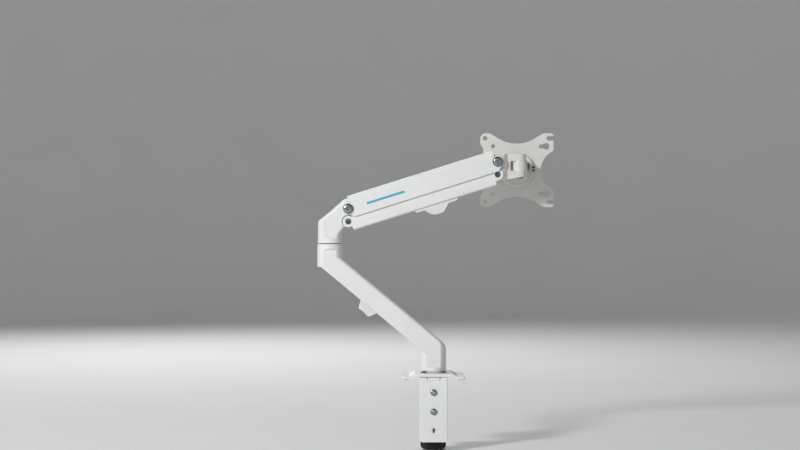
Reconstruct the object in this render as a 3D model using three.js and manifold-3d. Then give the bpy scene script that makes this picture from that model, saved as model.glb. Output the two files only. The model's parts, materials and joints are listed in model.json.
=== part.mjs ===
// Spring-assisted monitor arm with a desk clamp and a monitor plate.
// Millimetres, +Z up. The origin is on the post's axis, on the desk's surface under the clamp.
// +X points from the elbow to the post, and +Y points from the desk's edge over the desk.

import * as THREE from "three";
import { mergeVertices } from "three/addons/utils/BufferGeometryUtils.js";
import Module from "manifold-3d";

const wasm = await Module();
wasm.setup();

// ---------------------------------------------------------------- driving dimensions

const GAP = 0.3; // clearance between pieces that touch
const ARC_STEP = THREE.MathUtils.degToRad(30); // longest step along a rounded outline

// base plate and clamp
const PAD_T = 0.5;
const PLATE = { halfX: 48, front: -46, back: 37, thick: 4.2, cornerR: 3, riseInX: 28, riseOutX: 35 };
const BRACKET = { halfX: 21.2, thick: 3.7, bottom: -94.2, back: 30, bendR: 5, cornerR: 5 };
const SLIT = { x: 9.75, halfW: 0.6, bottom: -3.5, depth: 8 };
const CLAMP_SCREW_Z = [-18.8, -47.9];
const CLAMP_SCREW = { headR: 4.9, headH: 3.2, r: 2.8 };
const KEYHOLE = { z: -76, bigR: 3, slotHalfW: 1.7, slotBottom: -80.5 };
const JAW = { halfX: 19, top: -12, bottom: -66, front: 16, thick: 4.2, cornerR: 5 };
const SPINDLE = { y: -10, r: 4.8, top: -56, bottom: -104.5 };
const WELD_NUT = { r: 9.2, height: 8 };
const DISC = { r: 18, bottom: -58, top: -54 };
const RUBBER = { r: 17.5, top: -50 };
const KNOB = { r: 19.5, top: -92, bottom: -108.3, lobes: 8, gripR: 7, gripReach: 24.7 };
const FLANGE_SCREW = { x: 15, y: 19.5, headR: 4.3, headH: 2.4, r: 2.3 };

// post and lower arm
const POST = { collarR: 19, collarH: 1, r: 10.5, top: 46, spigotR: 7.7 };
const BUSH = { inner: 10.8, outer: 13.6, bore: 13.9 };
const POST_HUB_R = 20;
const ELBOW_X = -158.6;
const ELBOW_HUB = { r: 19.5, bottom: 170.4, top: 205.8 };
const FLAT_Y = 16.6;
const BEAM = { slope: -0.8273, topAtPost: 66.9, drop: 38.4, edgeR: 5.5 };
const CHANNEL = { halfY: 13, roof: 7.8, from: -141, to: -26 };
const FRICTION_SCREW = { r: 3, length: 2.2, socket: 1.3 };

// elbow bracket and parallelogram
const SEAM_WASHER_T = 0.6;
const BRACKET_HUB_R = 18.7;
const BRACKET_FLAT_Y = 15.3;
const POCKET_Y = 13.2;
const FORK_Y = 11;
const SPIGOT_R = 9.5;
const UPPER_PIVOT = { x: -130, z: 260 };
const PIVOT_DROP = 19.6;
const ARM_LENGTH = 239.4;
const ARM_LIFT = THREE.MathUtils.degToRad(17.45);
const COVER = { outer: 20.8, inner: 18.5, top: 18.5, bottom: -14.2, edgeR: 7, noseR: 8.6, headNoseR: 9.2 };
const LINK = { outer: 17.9, inner: 15.6, top: 5.5, bottom: -15.1, wall: 2.2, edgeR: 3, noseR: 8.6 };
const AXLE = { r: 4, headR: 7.7, headH: 3.7, nutR: 7.2, nutH: 4 };
const PIN = { headR: 4.4, r: 3 };

// gas spring, held between the tension slider and the upper head axle
const SPRING_OFFSET = 13;
const SPRING_OFFSET_TILT = THREE.MathUtils.degToRad(6);
const ROD = { r: 4, end: 118, pistonR: 5.8, pistonFrom: 108, eyeR: 6.5, eyeY: 4 };
const CYLINDER = { outer: 11, inner: 9, mouth: 62, mouthR: 7.2, end: 222, neckR: 5, eyeR: 6.8, eyeY: 4.5 };
const TENSION = { x: -145, r: 3.3, headR: 4.2, headH: 3.4, seat: 254.2, length: 26 };

// head, tilt and monitor plate
const HEAD = { left: 90, step: 113.9, top: 343.8, earY: 15.2, slotY: 6, forkY: 10, forkR: 10 };
const WINDOW = { left: 118.7, bottom: 318, top: 332.8 };
const PAN_X = 132.9;
const KNUCKLE = { r: 11, halfX: 8.6, tiltR: 9 };
const TILT_Y = 35;
const TILT_BOLT = { headR: 5.6, headH: 3.4, r: 3.5, nutR: 6.2, nutT: 4.2 };
const SWIVEL_PIN = { r: 4, headR: 6.4, bottom: 306.5, headTop: 310.2 };
const YOKE = { earIn: 8.9, earOut: 14, earR: 11, plateFrom: 54, plateTo: 59.7, halfX: 17, halfZ: 15 };
const ROTATION_Z = 321.3;
const TURN_DISC = { r: 26.6, from: 60, to: 65.4 };
const STOP = { x: 22.6, width: 5.2, rise: 1.6, halfZ: 4.8, depth: 3.4, groove: 3.2, grooveAt: 2.4, floor: 1 };
const TURN_WASHER = { r: 22, from: 65.7, to: 66.7 };
const VESA = {
  from: 67, to: 69.6, half: 58, halfX: 57.6,
  holeR: 3.3, outerR: 3.7, keyR: 5.2, slotHalfW: 3.5,
};
const SCALLOP = { topR: 54, topZ: 41.6, sideR: 33, sideX: 37.6 };
const CENTRE_SCREW = { headR: 7.6, headT: 1.5, r: 4 };

// cable clips
const ARM_CLIP = { start: -110.9, halfY: 15, wall: 2.2 };
const LINK_CLIP = { from: 102, to: 171, halfY: 15, wall: 2.2, flangeT: 3.2 };

// derived levels
const PLATE_Z = PAD_T + GAP;
const BRACKET_TOP = PLATE_Z + BRACKET.thick;
const RAISED_Z = BRACKET_TOP + GAP;
const RAISED_TOP = RAISED_Z + PLATE.thick;
const COLLAR_Z = RAISED_TOP + GAP;
const HUB_BOTTOM = COLLAR_Z + POST.collarH + GAP;
const SEAM_Z = ELBOW_HUB.top + GAP;
const BRACKET_Z = SEAM_Z + SEAM_WASHER_T + GAP;
const LOWER_PIVOT_Z = UPPER_PIVOT.z - PIVOT_DROP;
const HEAD_X = UPPER_PIVOT.x + ARM_LENGTH * Math.cos(ARM_LIFT);
const HEAD_UPPER_Z = UPPER_PIVOT.z + ARM_LENGTH * Math.sin(ARM_LIFT);
const HEAD_LOWER_Z = HEAD_UPPER_Z - PIVOT_DROP;
const KNUCKLE_Z = (WINDOW.bottom + WINDOW.top) / 2;
const ANCHOR = {
  x: UPPER_PIVOT.x + SPRING_OFFSET * Math.sin(SPRING_OFFSET_TILT),
  z: UPPER_PIVOT.z - SPRING_OFFSET * Math.cos(SPRING_OFFSET_TILT),
};

// ---------------------------------------------------------------- solids

function solid(geometry) {
  const bare = geometry.clone();
  bare.deleteAttribute("normal");
  bare.deleteAttribute("uv");
  const merged = mergeVertices(bare, 1e-4);
  const vertProperties = new Float32Array(merged.attributes.position.array);
  const triVerts = new Uint32Array(merged.index.array);
  return new wasm.Manifold(new wasm.Mesh({ numProp: 3, vertProperties, triVerts }));
}

function join(first, ...others) {
  return others.reduce((whole, part) => whole.add(part), first);
}

function cut(first, ...others) {
  return others.reduce((whole, part) => whole.subtract(part), first);
}

function place(geometry, matrix) {
  return solid(geometry.applyMatrix4(matrix));
}

// Points of an outline whose corners [x, y, radius] are rounded by arcs.
function rounded(corners) {
  const points = [];
  corners.forEach(([x, y, radius = 0], i) => {
    const here = new THREE.Vector2(x, y);
    if (!radius) {
      points.push(here);
      return;
    }
    const before = corners[(i + corners.length - 1) % corners.length];
    const after = corners[(i + 1) % corners.length];
    const toBefore = new THREE.Vector2(before[0] - x, before[1] - y).normalize();
    const toAfter = new THREE.Vector2(after[0] - x, after[1] - y).normalize();
    const half = Math.acos(toBefore.dot(toAfter)) / 2;
    const middle = toBefore.clone().add(toAfter).normalize();
    const centre = here.clone().addScaledVector(middle, radius / Math.sin(half));
    const start = here.clone().addScaledVector(toBefore, radius / Math.tan(half)).sub(centre);
    const turn = Math.sign(toAfter.cross(toBefore)) * (Math.PI - 2 * half);
    const steps = Math.max(2, Math.ceil(Math.abs(turn) / ARC_STEP));
    for (let k = 0; k <= steps; k++) {
      const spoke = start.clone().rotateAround(new THREE.Vector2(), (turn * k) / steps);
      points.push(spoke.add(centre));
    }
  });
  return points;
}

// Points along an arc, from one angle to another in degrees.
function arc(x, y, radius, from, to, steps) {
  return Array.from({ length: steps + 1 }, (_, k) => {
    const angle = THREE.MathUtils.degToRad(from + ((to - from) * k) / steps);
    return [x + radius * Math.cos(angle), y + radius * Math.sin(angle)];
  });
}

function rectangle(x0, x1, y0, y1, radius = 0) {
  return rounded([
    [x0, y0, radius],
    [x1, y0, radius],
    [x1, y1, radius],
    [x0, y1, radius],
  ]);
}

function toPoints(outline) {
  return outline.map((p) => (p.isVector2 ? p : new THREE.Vector2(p[0], p[1])));
}

function extruded(outline, depth, edge = 0, steps = 2) {
  return new THREE.ExtrudeGeometry(new THREE.Shape(toPoints(outline)), {
    depth: depth - 2 * edge,
    bevelEnabled: edge > 0,
    bevelThickness: edge,
    bevelSize: edge,
    bevelOffset: -edge,
    bevelSegments: steps,
  }).translate(0, 0, edge);
}

// The outline is (x, y), and the solid runs along Z.
function alongZ(outline, z0, z1, edge) {
  return solid(extruded(outline, z1 - z0, edge).translate(0, 0, z0));
}

// The outline is (x, z), and the solid runs along Y.
function alongY(outline, y0, y1, edge) {
  const sheet = extruded(outline, y1 - y0, edge).rotateX(Math.PI / 2);
  return solid(sheet.translate(0, y1, 0));
}

// The outline is (y, z), and the solid runs along X.
function alongX(outline, x0, x1, edge) {
  const turn = new THREE.Matrix4().set(0, 0, 1, x0, 1, 0, 0, 0, 0, 1, 0, 0, 0, 0, 0, 1);
  return place(extruded(outline, x1 - x0, edge), turn);
}

function bothSides(outline, y0, y1) {
  return join(alongY(outline, y0, y1), alongY(outline, -y1, -y0));
}

function block(x0, x1, y0, y1, z0, z1) {
  const box = new THREE.BoxGeometry(x1 - x0, y1 - y0, z1 - z0);
  return solid(box.translate((x0 + x1) / 2, (y0 + y1) / 2, (z0 + z1) / 2));
}

function barZ(x, y, radius, z0, z1, sides = 20) {
  const bar = new THREE.CylinderGeometry(radius, radius, z1 - z0, sides).rotateX(Math.PI / 2);
  return solid(bar.translate(x, y, (z0 + z1) / 2));
}

function barY(x, z, radius, y0, y1, sides = 20) {
  const bar = new THREE.CylinderGeometry(radius, radius, y1 - y0, sides);
  return solid(bar.translate(x, (y0 + y1) / 2, z));
}

function barX(y, z, radius, x0, x1, sides = 20) {
  const bar = new THREE.CylinderGeometry(radius, radius, x1 - x0, sides).rotateZ(Math.PI / 2);
  return solid(bar.translate((x0 + x1) / 2, y, z));
}

// A solid of revolution about Z, from [radius, height] pairs that start and end on the axis.
function turned(profile, sides = 20) {
  const points = profile.map(([r, z]) => new THREE.Vector2(r, z));
  return solid(new THREE.LatheGeometry(points, sides).rotateX(Math.PI / 2));
}

function ring(x, y, inner, outer, z0, z1) {
  return cut(barZ(x, y, outer, z0, z1), barZ(x, y, inner, z0 - 1, z1 + 1));
}

// A domed screw with a hexagonal socket: the head's seat is at 0 and it points along +Z.
function buttonScrew(headR, headH, shankR, length) {
  const dome = turned(
    [
      [0, 0],
      [headR, 0],
      [headR, headH * 0.35],
      [headR * 0.68, headH],
      [0, headH],
    ],
    12,
  );
  const socket = barZ(0, 0, headR * 0.42, headH * 0.45, headH + 1, 6);
  return join(cut(dome, socket), barZ(0, 0, shankR, -length, headH * 0.2, 10));
}

// ---------------------------------------------------------------- scene graph

const arm = new THREE.Group();
arm.name = "monitor_arm";

const liftFrame = new THREE.Group();
liftFrame.position.set(UPPER_PIVOT.x, 0, UPPER_PIVOT.z);
liftFrame.rotation.y = -ARM_LIFT;
arm.add(liftFrame);

const linkFrame = new THREE.Group();
linkFrame.position.set(UPPER_PIVOT.x, 0, LOWER_PIVOT_Z);
linkFrame.rotation.y = -ARM_LIFT;
arm.add(linkFrame);

const springRise = HEAD_UPPER_Z - ANCHOR.z;
const springRun = HEAD_X - ANCHOR.x;
const SPRING_LENGTH = Math.hypot(springRise, springRun);
const springFrame = new THREE.Group();
springFrame.position.set(ANCHOR.x, 0, ANCHOR.z);
springFrame.rotation.y = -Math.atan2(springRise, springRun);
arm.add(springFrame);

const MATERIALS = {
  white: { color: 0xe3e6e6, roughness: 0.5, metalness: 0.1 },
  warmGrey: { color: 0xcfcec6, roughness: 0.5, metalness: 0.15 },
  chrome: { color: 0xaab4bd, roughness: 0.22, metalness: 1 },
  darkSteel: { color: 0x4a4f53, roughness: 0.4, metalness: 0.9 },
  steel: { color: 0x9a9c9e, roughness: 0.35, metalness: 1 },
  black: { color: 0x17181a, roughness: 0.55, metalness: 0 },
  rubber: { color: 0x101010, roughness: 0.9, metalness: 0 },
  nylon: { color: 0xe9e6dc, roughness: 0.6, metalness: 0 },
  springBlack: { color: 0x1c1d1f, roughness: 0.35, metalness: 0.4 },
};

function add(name, body, finish, group = arm) {
  const { vertProperties, triVerts } = body.getMesh();
  const geometry = new THREE.BufferGeometry();
  geometry.setAttribute("position", new THREE.BufferAttribute(vertProperties, 3));
  geometry.setIndex(new THREE.BufferAttribute(triVerts, 1));
  geometry.computeVertexNormals();
  const mesh = new THREE.Mesh(geometry, new THREE.MeshStandardMaterial(MATERIALS[finish]));
  mesh.name = name;
  group.add(mesh);
  return mesh;
}

// ---------------------------------------------------------------- base plate and clamp

function flangeScrewPlaces() {
  const { x, y } = FLANGE_SCREW;
  return [
    [-x, -y],
    [x, -y],
    [x, y],
    [-x, y],
  ];
}

function drillFlange(body, radius) {
  return cut(body, ...flangeScrewPlaces().map(([x, y]) => barZ(x, y, radius, -20, 40, 16)));
}

function basePlate() {
  const { halfX, front, back, thick, cornerR, riseInX, riseOutX } = PLATE;
  const bend = 4;
  const section = rounded([
    [-halfX, PLATE_Z],
    [-riseOutX, PLATE_Z, bend + thick],
    [-riseInX, RAISED_Z, bend],
    [riseInX, RAISED_Z, bend],
    [riseOutX, PLATE_Z, bend + thick],
    [halfX, PLATE_Z],
    [halfX, PLATE_Z + thick],
    [riseOutX + 1, PLATE_Z + thick, bend],
    [riseInX + 1, RAISED_TOP, bend + thick],
    [-riseInX - 1, RAISED_TOP, bend + thick],
    [-riseOutX - 1, PLATE_Z + thick, bend],
    [-halfX, PLATE_Z + thick],
  ]);
  const sheet = alongY(section, front, back);
  const plan = alongZ(rectangle(-halfX, halfX, front, back, cornerR), -20, 40);
  const hole = barZ(0, 0, POST.spigotR + GAP, -20, 40);
  return drillFlange(cut(sheet.intersect(plan), hole), FLANGE_SCREW.r + GAP);
}

function deskPad(side) {
  const inner = PLATE.riseOutX + 2.5;
  const outer = PLATE.halfX - 1.5;
  const [x0, x1] = side < 0 ? [-outer, -inner] : [inner, outer];
  return alongZ(rectangle(x0, x1, PLATE.front + 3, PLATE.back - 3, 2), 0, PAD_T);
}

function seatPad() {
  const half = BRACKET.halfX - 1.5;
  const front = PLATE.front + BRACKET.thick + 4;
  return alongZ(rectangle(-half, half, front, BRACKET.back - 1.5, 2), 0, PAD_T);
}

function clampBackBracket() {
  const { halfX, thick, bottom, back, bendR, cornerR } = BRACKET;
  const front = PLATE.front;
  const profile = rounded([
    [front, bottom],
    [front + thick, bottom],
    [front + thick, PLATE_Z, bendR - thick],
    [back, PLATE_Z],
    [back, BRACKET_TOP],
    [front, BRACKET_TOP, bendR],
  ]);
  const folded = alongX(profile, -halfX, halfX);
  const upright = alongY(rectangle(-halfX, halfX, bottom, 40, cornerR), front - 1, back + 1);
  const slits = [-SLIT.x, SLIT.x].map((x) =>
    block(x - SLIT.halfW, x + SLIT.halfW, front - 1, front + SLIT.depth, SLIT.bottom, 20),
  );
  const holes = CLAMP_SCREW_Z.map((z) => barY(0, z, CLAMP_SCREW.r + GAP, front - 1, front + thick + 1, 16));
  const keyhole = join(
    barY(0, KEYHOLE.z, KEYHOLE.bigR, front - 1, front + thick + 1, 16),
    block(-KEYHOLE.slotHalfW, KEYHOLE.slotHalfW, front - 1, front + thick + 1, KEYHOLE.slotBottom, KEYHOLE.z),
  );
  return drillFlange(cut(folded.intersect(upright), ...slits, ...holes, keyhole), FLANGE_SCREW.r + GAP);
}

function clampLowerJaw() {
  const { halfX, top, bottom, front, thick, cornerR } = JAW;
  const y0 = PLATE.front + BRACKET.thick + GAP;
  const profile = rounded([
    [y0, bottom, 5],
    [front, bottom],
    [front, bottom + thick],
    [y0 + thick, bottom + thick, 2],
    [y0 + thick, top],
    [y0, top],
  ]);
  const folded = alongX(profile, -halfX, halfX);
  const plan = alongZ(rectangle(-halfX, halfX, y0 - 10, front, cornerR), bottom - 1, top + 1);
  const upright = alongY(rectangle(-halfX, halfX, bottom - 10, top, cornerR), y0 - 1, front + 1);
  const holes = CLAMP_SCREW_Z.map((z) => barY(0, z, CLAMP_SCREW.r + GAP, y0 - 1, y0 + thick + 1, 16));
  const spindleHole = barZ(0, SPINDLE.y, SPINDLE.r + GAP + 0.2, bottom - 1, bottom + thick + 1);
  return cut(folded.intersect(plan).intersect(upright), ...holes, spindleHole);
}

function clampBracketScrew(z) {
  const length = BRACKET.thick + GAP + JAW.thick;
  const screw = buttonScrew(CLAMP_SCREW.headR, CLAMP_SCREW.headH, CLAMP_SCREW.r, length);
  return screw.rotate([90, 0, 0]).translate([0, PLATE.front - GAP, z]);
}

function weldNut() {
  const top = JAW.bottom - GAP;
  const { r, height } = WELD_NUT;
  const hexagon = barZ(0, SPINDLE.y, r, top - height, top, 6);
  return cut(hexagon, barZ(0, SPINDLE.y, SPINDLE.r + GAP + 0.2, top - height - 1, top + 1));
}

function spindle() {
  const { r, top, bottom } = SPINDLE;
  const shaft = turned([
    [0, bottom],
    [r, bottom],
    [r, top - 2.5],
    [r - 2, top],
    [0, top],
  ]);
  return shaft.translate([0, SPINDLE.y, 0]);
}

function pressureDisc() {
  const { r, bottom, top } = DISC;
  const disc = turned([
    [0, bottom],
    [r - 1, bottom],
    [r, bottom + 1],
    [r, top],
    [0, top],
  ]);
  const socket = barZ(0, 0, SPINDLE.r + GAP + 0.1, bottom - 1, SPINDLE.top + 0.6);
  return cut(disc, socket).translate([0, SPINDLE.y, 0]);
}

function pressurePad() {
  const face = turned([
    [0, DISC.top + GAP],
    [RUBBER.r, DISC.top + GAP],
    [RUBBER.r, RUBBER.top - 0.8],
    [RUBBER.r - 0.8, RUBBER.top],
    [0, RUBBER.top],
  ]);
  return face.translate([0, SPINDLE.y, 0]);
}

function clampKnob() {
  const { r, top, bottom, lobes, gripR, gripReach } = KNOB;
  const body = turned(
    [
      [0, bottom],
      [r - 6.5, bottom],
      [r - 2.2, bottom + 2],
      [r, bottom + 6.5],
      [r, top - 3],
      [r - 3, top],
      [0, top],
    ],
    32,
  );
  const grips = Array.from({ length: lobes }, (_, i) => {
    const angle = (2 * Math.PI * (i + 0.5)) / lobes;
    return barZ(gripReach * Math.cos(angle), gripReach * Math.sin(angle), gripR, bottom - 1, top + 1, 14);
  });
  const socket = barZ(0, 0, SPINDLE.r + GAP, SPINDLE.bottom - GAP, top + 1);
  return cut(body, ...grips, socket).translate([0, SPINDLE.y, 0]);
}

// ---------------------------------------------------------------- post and lower arm

function basePost() {
  const { collarR, collarH, r, top, spigotR } = POST;
  const shaft = turned([
    [0, RAISED_Z + GAP],
    [spigotR, RAISED_Z + GAP],
    [spigotR, COLLAR_Z],
    [collarR, COLLAR_Z],
    [collarR, COLLAR_Z + collarH],
    [r, COLLAR_Z + collarH],
    [r, top - 1.5],
    [r - 1.5, top],
    [0, top],
  ]);
  return cut(shaft, barZ(0, 0, r - 4, 22, top + 1));
}

function deskScrew([x, y]) {
  const { headR, headH, r } = FLANGE_SCREW;
  const seat = RAISED_TOP + GAP;
  return buttonScrew(headR, headH, r, seat - PLATE_Z - 0.4).translate([x, y, seat]);
}

// The beam's walls stand upright under a sloping roof with rounded edges.
function sloped(outline, z0, z1, edge) {
  const body = extruded(outline, z1 - z0, edge);
  const shear = new THREE.Matrix4().set(1, 0, 0, 0, 0, 1, 0, 0, BEAM.slope, 0, 1, z0, 0, 0, 0, 1);
  return place(body, shear);
}

function beamPlan() {
  const postAngle = THREE.MathUtils.radToDeg(Math.asin(FLAT_Y / POST_HUB_R));
  const elbowAngle = THREE.MathUtils.radToDeg(Math.asin(FLAT_Y / ELBOW_HUB.r));
  return [
    ...arc(0, 0, POST_HUB_R, -postAngle, postAngle, 10),
    ...arc(ELBOW_X, 0, ELBOW_HUB.r, 180 - elbowAngle, 180 + elbowAngle, 10),
  ];
}

function lowerArm() {
  const top = BEAM.topAtPost;
  const under = top - BEAM.drop;
  const beam = sloped(beamPlan(), under - 10, top, BEAM.edgeR);
  const underside = sloped(rectangle(-220, 60, -40, 40), under - 60, under);
  const aboveHub = block(-220, ELBOW_X + 60, -40, 40, ELBOW_HUB.top, 300);
  const elbowHub = barZ(ELBOW_X, 0, ELBOW_HUB.r, ELBOW_HUB.bottom, ELBOW_HUB.top, 32);
  const elbowFlats = bothSides(rectangle(ELBOW_X - 11, ELBOW_X + 11, 120, 197.5, 5), FLAT_Y, 30);
  const postHub = barZ(0, 0, POST_HUB_R, HUB_BOTTOM, 44, 32);
  const postFlats = bothSides(rectangle(-11, 11, 17, 90, 4), FLAT_Y, 30);
  const outer = join(
    cut(beam, underside, aboveHub),
    cut(elbowHub, elbowFlats),
    cut(postHub, postFlats),
  );
  const channelPlan = rectangle(CHANNEL.from, CHANNEL.to, -CHANNEL.halfY, CHANNEL.halfY, 3);
  const channel = sloped(channelPlan, under - 60, top - CHANNEL.roof);
  const postBore = barZ(0, 0, BUSH.bore, HUB_BOTTOM - 1, POST.top + 1.5);
  const elbowBore = barZ(ELBOW_X, 0, BUSH.bore, ELBOW_HUB.bottom + 5, ELBOW_HUB.top + 1);
  const screwHoles = [
    barY(0, 28, FRICTION_SCREW.r + GAP, 8, 40, 16),
    barY(ELBOW_X, 188, FRICTION_SCREW.r + GAP, 8, 40, 16),
  ];
  return cut(outer, channel, postBore, elbowBore, ...screwHoles);
}

function frictionScrew(x, z) {
  const { r, length, socket } = FRICTION_SCREW;
  const start = BUSH.outer + 2 * GAP;
  const body = barY(x, z, r, start, start + length, 16);
  return cut(body, barY(x, z, r * 0.5, start + length - socket, start + length + 1, 6));
}

function lowerArmClip() {
  const { start, halfY, wall } = ARM_CLIP;
  const outer = [
    [0, GAP],
    [5.2, 12.1],
    [17.3, 11],
    [18.5, 12.6],
    [25.6, 12.2],
    [31.7, GAP],
  ];
  const tilt = Math.atan(-BEAM.slope);
  const underAtStart = BEAM.topAtPost - BEAM.drop + BEAM.slope * start;
  const flipped = outer.map(([u, w]) => [u, -w]);
  const shell = cut(
    alongY(flipped, -halfY, halfY),
    block(-20, 50, wall - halfY, halfY - wall, -10.2, 20),
  );
  const tabOutline = rectangle(9, 23, -3, 6);
  const tabs = bothSides(tabOutline, CHANNEL.halfY - 2.4, CHANNEL.halfY - GAP);
  const feet = bothSides(rectangle(9, 23, -3, -GAP), CHANNEL.halfY - 2.4, halfY - 0.2);
  return join(shell, tabs, feet)
    .rotate([0, THREE.MathUtils.radToDeg(tilt), 0])
    .translate([start, 0, underAtStart]);
}

// ---------------------------------------------------------------- elbow bracket

function elbowBracket() {
  const { x, z } = UPPER_PIVOT;
  const left = ELBOW_X - BRACKET_HUB_R + 0.4;
  const outline = [
    ...rounded([
      [-148.4, BRACKET_Z + 4],
      [-147.2, 215],
      [-142.6, 223.5, 14],
      [-136.2, 231],
    ]),
    ...arc(x, LOWER_PIVOT_Z, 9.3, -120, 0, 6),
    ...arc(x, z, 15.2, 52, 130, 5),
    ...rounded([
      [-157.7, 255.5],
      [left, 240.4, 6],
      [left, BRACKET_Z + 4],
    ]),
  ];
  const body = alongY(outline, -BRACKET_FLAT_Y, BRACKET_FLAT_Y, 5);
  const flatAngle = THREE.MathUtils.radToDeg(Math.asin(BRACKET_FLAT_Y / BRACKET_HUB_R));
  const plan = alongZ(
    [
      ...arc(ELBOW_X, 0, BRACKET_HUB_R, 180 - flatAngle, 180 + flatAngle, 11),
      [-100, -BRACKET_FLAT_Y],
      [-100, BRACKET_FLAT_Y],
    ],
    BRACKET_Z - 1,
    300,
  );
  const hub = barZ(ELBOW_X, 0, BRACKET_HUB_R - GAP, BRACKET_Z, 229, 32);
  const flats = bothSides(rectangle(ELBOW_X - 12, ELBOW_X + 12, 215, 260, 4), BRACKET_FLAT_Y - GAP, 30);
  const linkPocket = bothSides(arc(x, LOWER_PIVOT_Z, LINK.noseR + 1.3, 18, 360, 19), POCKET_Y, 30);
  const fork = alongY(
    [
      [-153, 228],
      [-134, 228],
      [-100, 225],
      [-100, 300],
      [-120, 300],
      [-133, 268],
      [-139, 263.5],
      [-153, 252],
    ],
    -FORK_Y,
    FORK_Y,
  );
  const spigotBore = barZ(ELBOW_X, 0, SPIGOT_R + GAP, BRACKET_Z - 1, 226);
  const axleHole = barY(x, z, AXLE.r + GAP, -30, 30, 12);
  const pinHole = barY(x, LOWER_PIVOT_Z, PIN.r + GAP, -30, 30, 12);
  const screwHole = barZ(TENSION.x, 0, TENSION.r + GAP + 0.1, 227.6, 240, 16);
  const keyAccess = barZ(TENSION.x, 0, TENSION.headR + GAP, 240, 290, 16);
  return cut(
    join(body.intersect(plan), cut(hub, flats)),
    linkPocket,
    fork,
    spigotBore,
    axleHole,
    pinHole,
    screwHole,
    keyAccess,
  );
}

function elbowSpigot() {
  const shaft = turned([
    [0, ELBOW_HUB.bottom + 6],
    [SPIGOT_R - 1, ELBOW_HUB.bottom + 6],
    [SPIGOT_R, ELBOW_HUB.bottom + 7],
    [SPIGOT_R, 225.5],
    [0, 225.5],
  ]);
  return shaft.translate([ELBOW_X, 0, 0]);
}

function tensionSlider() {
  const body = block(TENSION.x - 6, ANCHOR.x + 6.5, -9.5, 9.5, 240, 253.5);
  const eyeSlot = block(ANCHOR.x - ROD.eyeR - 1.4, 0, -ROD.eyeY - 0.6, ROD.eyeY + 0.6, 200, 300);
  const pinHole = barY(ANCHOR.x, ANCHOR.z, PIN.r + GAP, -30, 30, 12);
  const thread = barZ(TENSION.x, 0, TENSION.r + GAP + 0.1, 200, 300, 16);
  return cut(body, eyeSlot, pinHole, thread);
}

function tensionScrew() {
  const { x, r, headR, headH, seat, length } = TENSION;
  return buttonScrew(headR, headH, r, length).translate([x, 0, seat]);
}

// ---------------------------------------------------------------- upper arm, in its own frame

function coverOutline() {
  const { top, bottom, noseR, headNoseR } = COVER;
  const headEnd = ARM_LENGTH;
  return [
    ...arc(0, 0, noseR, 68, 262, 8),
    [2.6, -11.6],
    [5.6, bottom],
    [headEnd - 3.7, bottom],
    ...arc(headEnd, 0, headNoseR, -40, 112, 10),
    [headEnd - 4, top],
    [3.2, top],
  ];
}

function channelSection(outer, inner, top, wall, edgeR) {
  const low = -60;
  const shell = rounded([
    [-outer, low],
    [outer, low],
    [outer, top, edgeR],
    [-outer, top, edgeR],
  ]);
  const core = rounded([
    [-inner, low - 1],
    [inner, low - 1],
    [inner, top - wall, Math.max(edgeR - wall, 0.8)],
    [-inner, top - wall, Math.max(edgeR - wall, 0.8)],
  ]);
  return cut(alongX(shell, -30, ARM_LENGTH + 30), alongX(core, -31, ARM_LENGTH + 31));
}

function upperArmCover() {
  const { outer, inner, top, edgeR } = COVER;
  const walls = channelSection(outer, inner, top, outer - inner, edgeR);
  const side = alongY(coverOutline(), -30, 30);
  const holes = [0, ARM_LENGTH].map((s) => barY(s, 0, 6.3, -30, 30));
  return cut(walls.intersect(side), ...holes);
}

function linkOutline() {
  const { top, bottom, noseR } = LINK;
  return [
    ...arc(0, 0, noseR, 40, 285, 14),
    [3.1, -9],
    [4.6, bottom],
    [ARM_LENGTH - 6.9, bottom],
    [ARM_LENGTH - 5.4, -9],
    ...arc(ARM_LENGTH, 0, noseR, -105, 140, 14),
    [ARM_LENGTH - 8.2, top],
    [8.2, top],
  ];
}

function lowerLink() {
  const { outer, inner, bottom, wall, edgeR } = LINK;
  const walls = channelSection(outer, inner, -bottom, wall, edgeR).rotate([180, 0, 0]);
  const side = alongY(linkOutline(), -30, 30);
  const holes = [0, ARM_LENGTH].map((s) => barY(s, 0, PIN.headR + GAP, -30, 30, 16));
  return cut(walls.intersect(side), ...holes);
}

// A flanged bush that lines one cheek of the cover; side is -1 at the front and 1 at the back.
function pivotBush(s, side) {
  const flange = barY(s, 0, 7.5, BRACKET_FLAT_Y + GAP, COVER.inner - GAP, 16);
  const sleeve = barY(s, 0, 6, BRACKET_FLAT_Y + GAP, COVER.outer, 16);
  const bush = cut(join(flange, sleeve), barY(s, 0, AXLE.r + GAP, -30, 30, 12));
  return side < 0 ? bush.mirror([0, 1, 0]) : bush;
}

function pivotAxle(x, z) {
  const seat = COVER.outer + GAP;
  const screw = buttonScrew(AXLE.headR, AXLE.headH, AXLE.r, 2 * seat + AXLE.nutH - 0.6);
  return screw.rotate([90, 0, 0]).translate([x, -seat, z]);
}

function axleNut(x, z) {
  const seat = COVER.outer + GAP;
  const nut = barY(x, z, AXLE.nutR, seat, seat + AXLE.nutH, 6);
  return cut(nut, barY(x, z, AXLE.r + GAP, seat - 1, seat + AXLE.nutH + 1, 16));
}

// A flush pin that joins one cheek of the lower link to a bracket, whose face is at seat.
function linkPin(x, z, reach, seat, side) {
  const head = barY(x, z, PIN.headR, seat + GAP, LINK.outer - 0.1, 16);
  const shank = barY(x, z, PIN.r, reach, LINK.outer - 1, 12);
  const socket = barY(x, z, 1.9, LINK.outer - 1.6, LINK.outer + 1, 6);
  const pin = cut(join(head, shank), socket);
  return side < 0 ? pin.mirror([0, 1, 0]) : pin;
}

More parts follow.
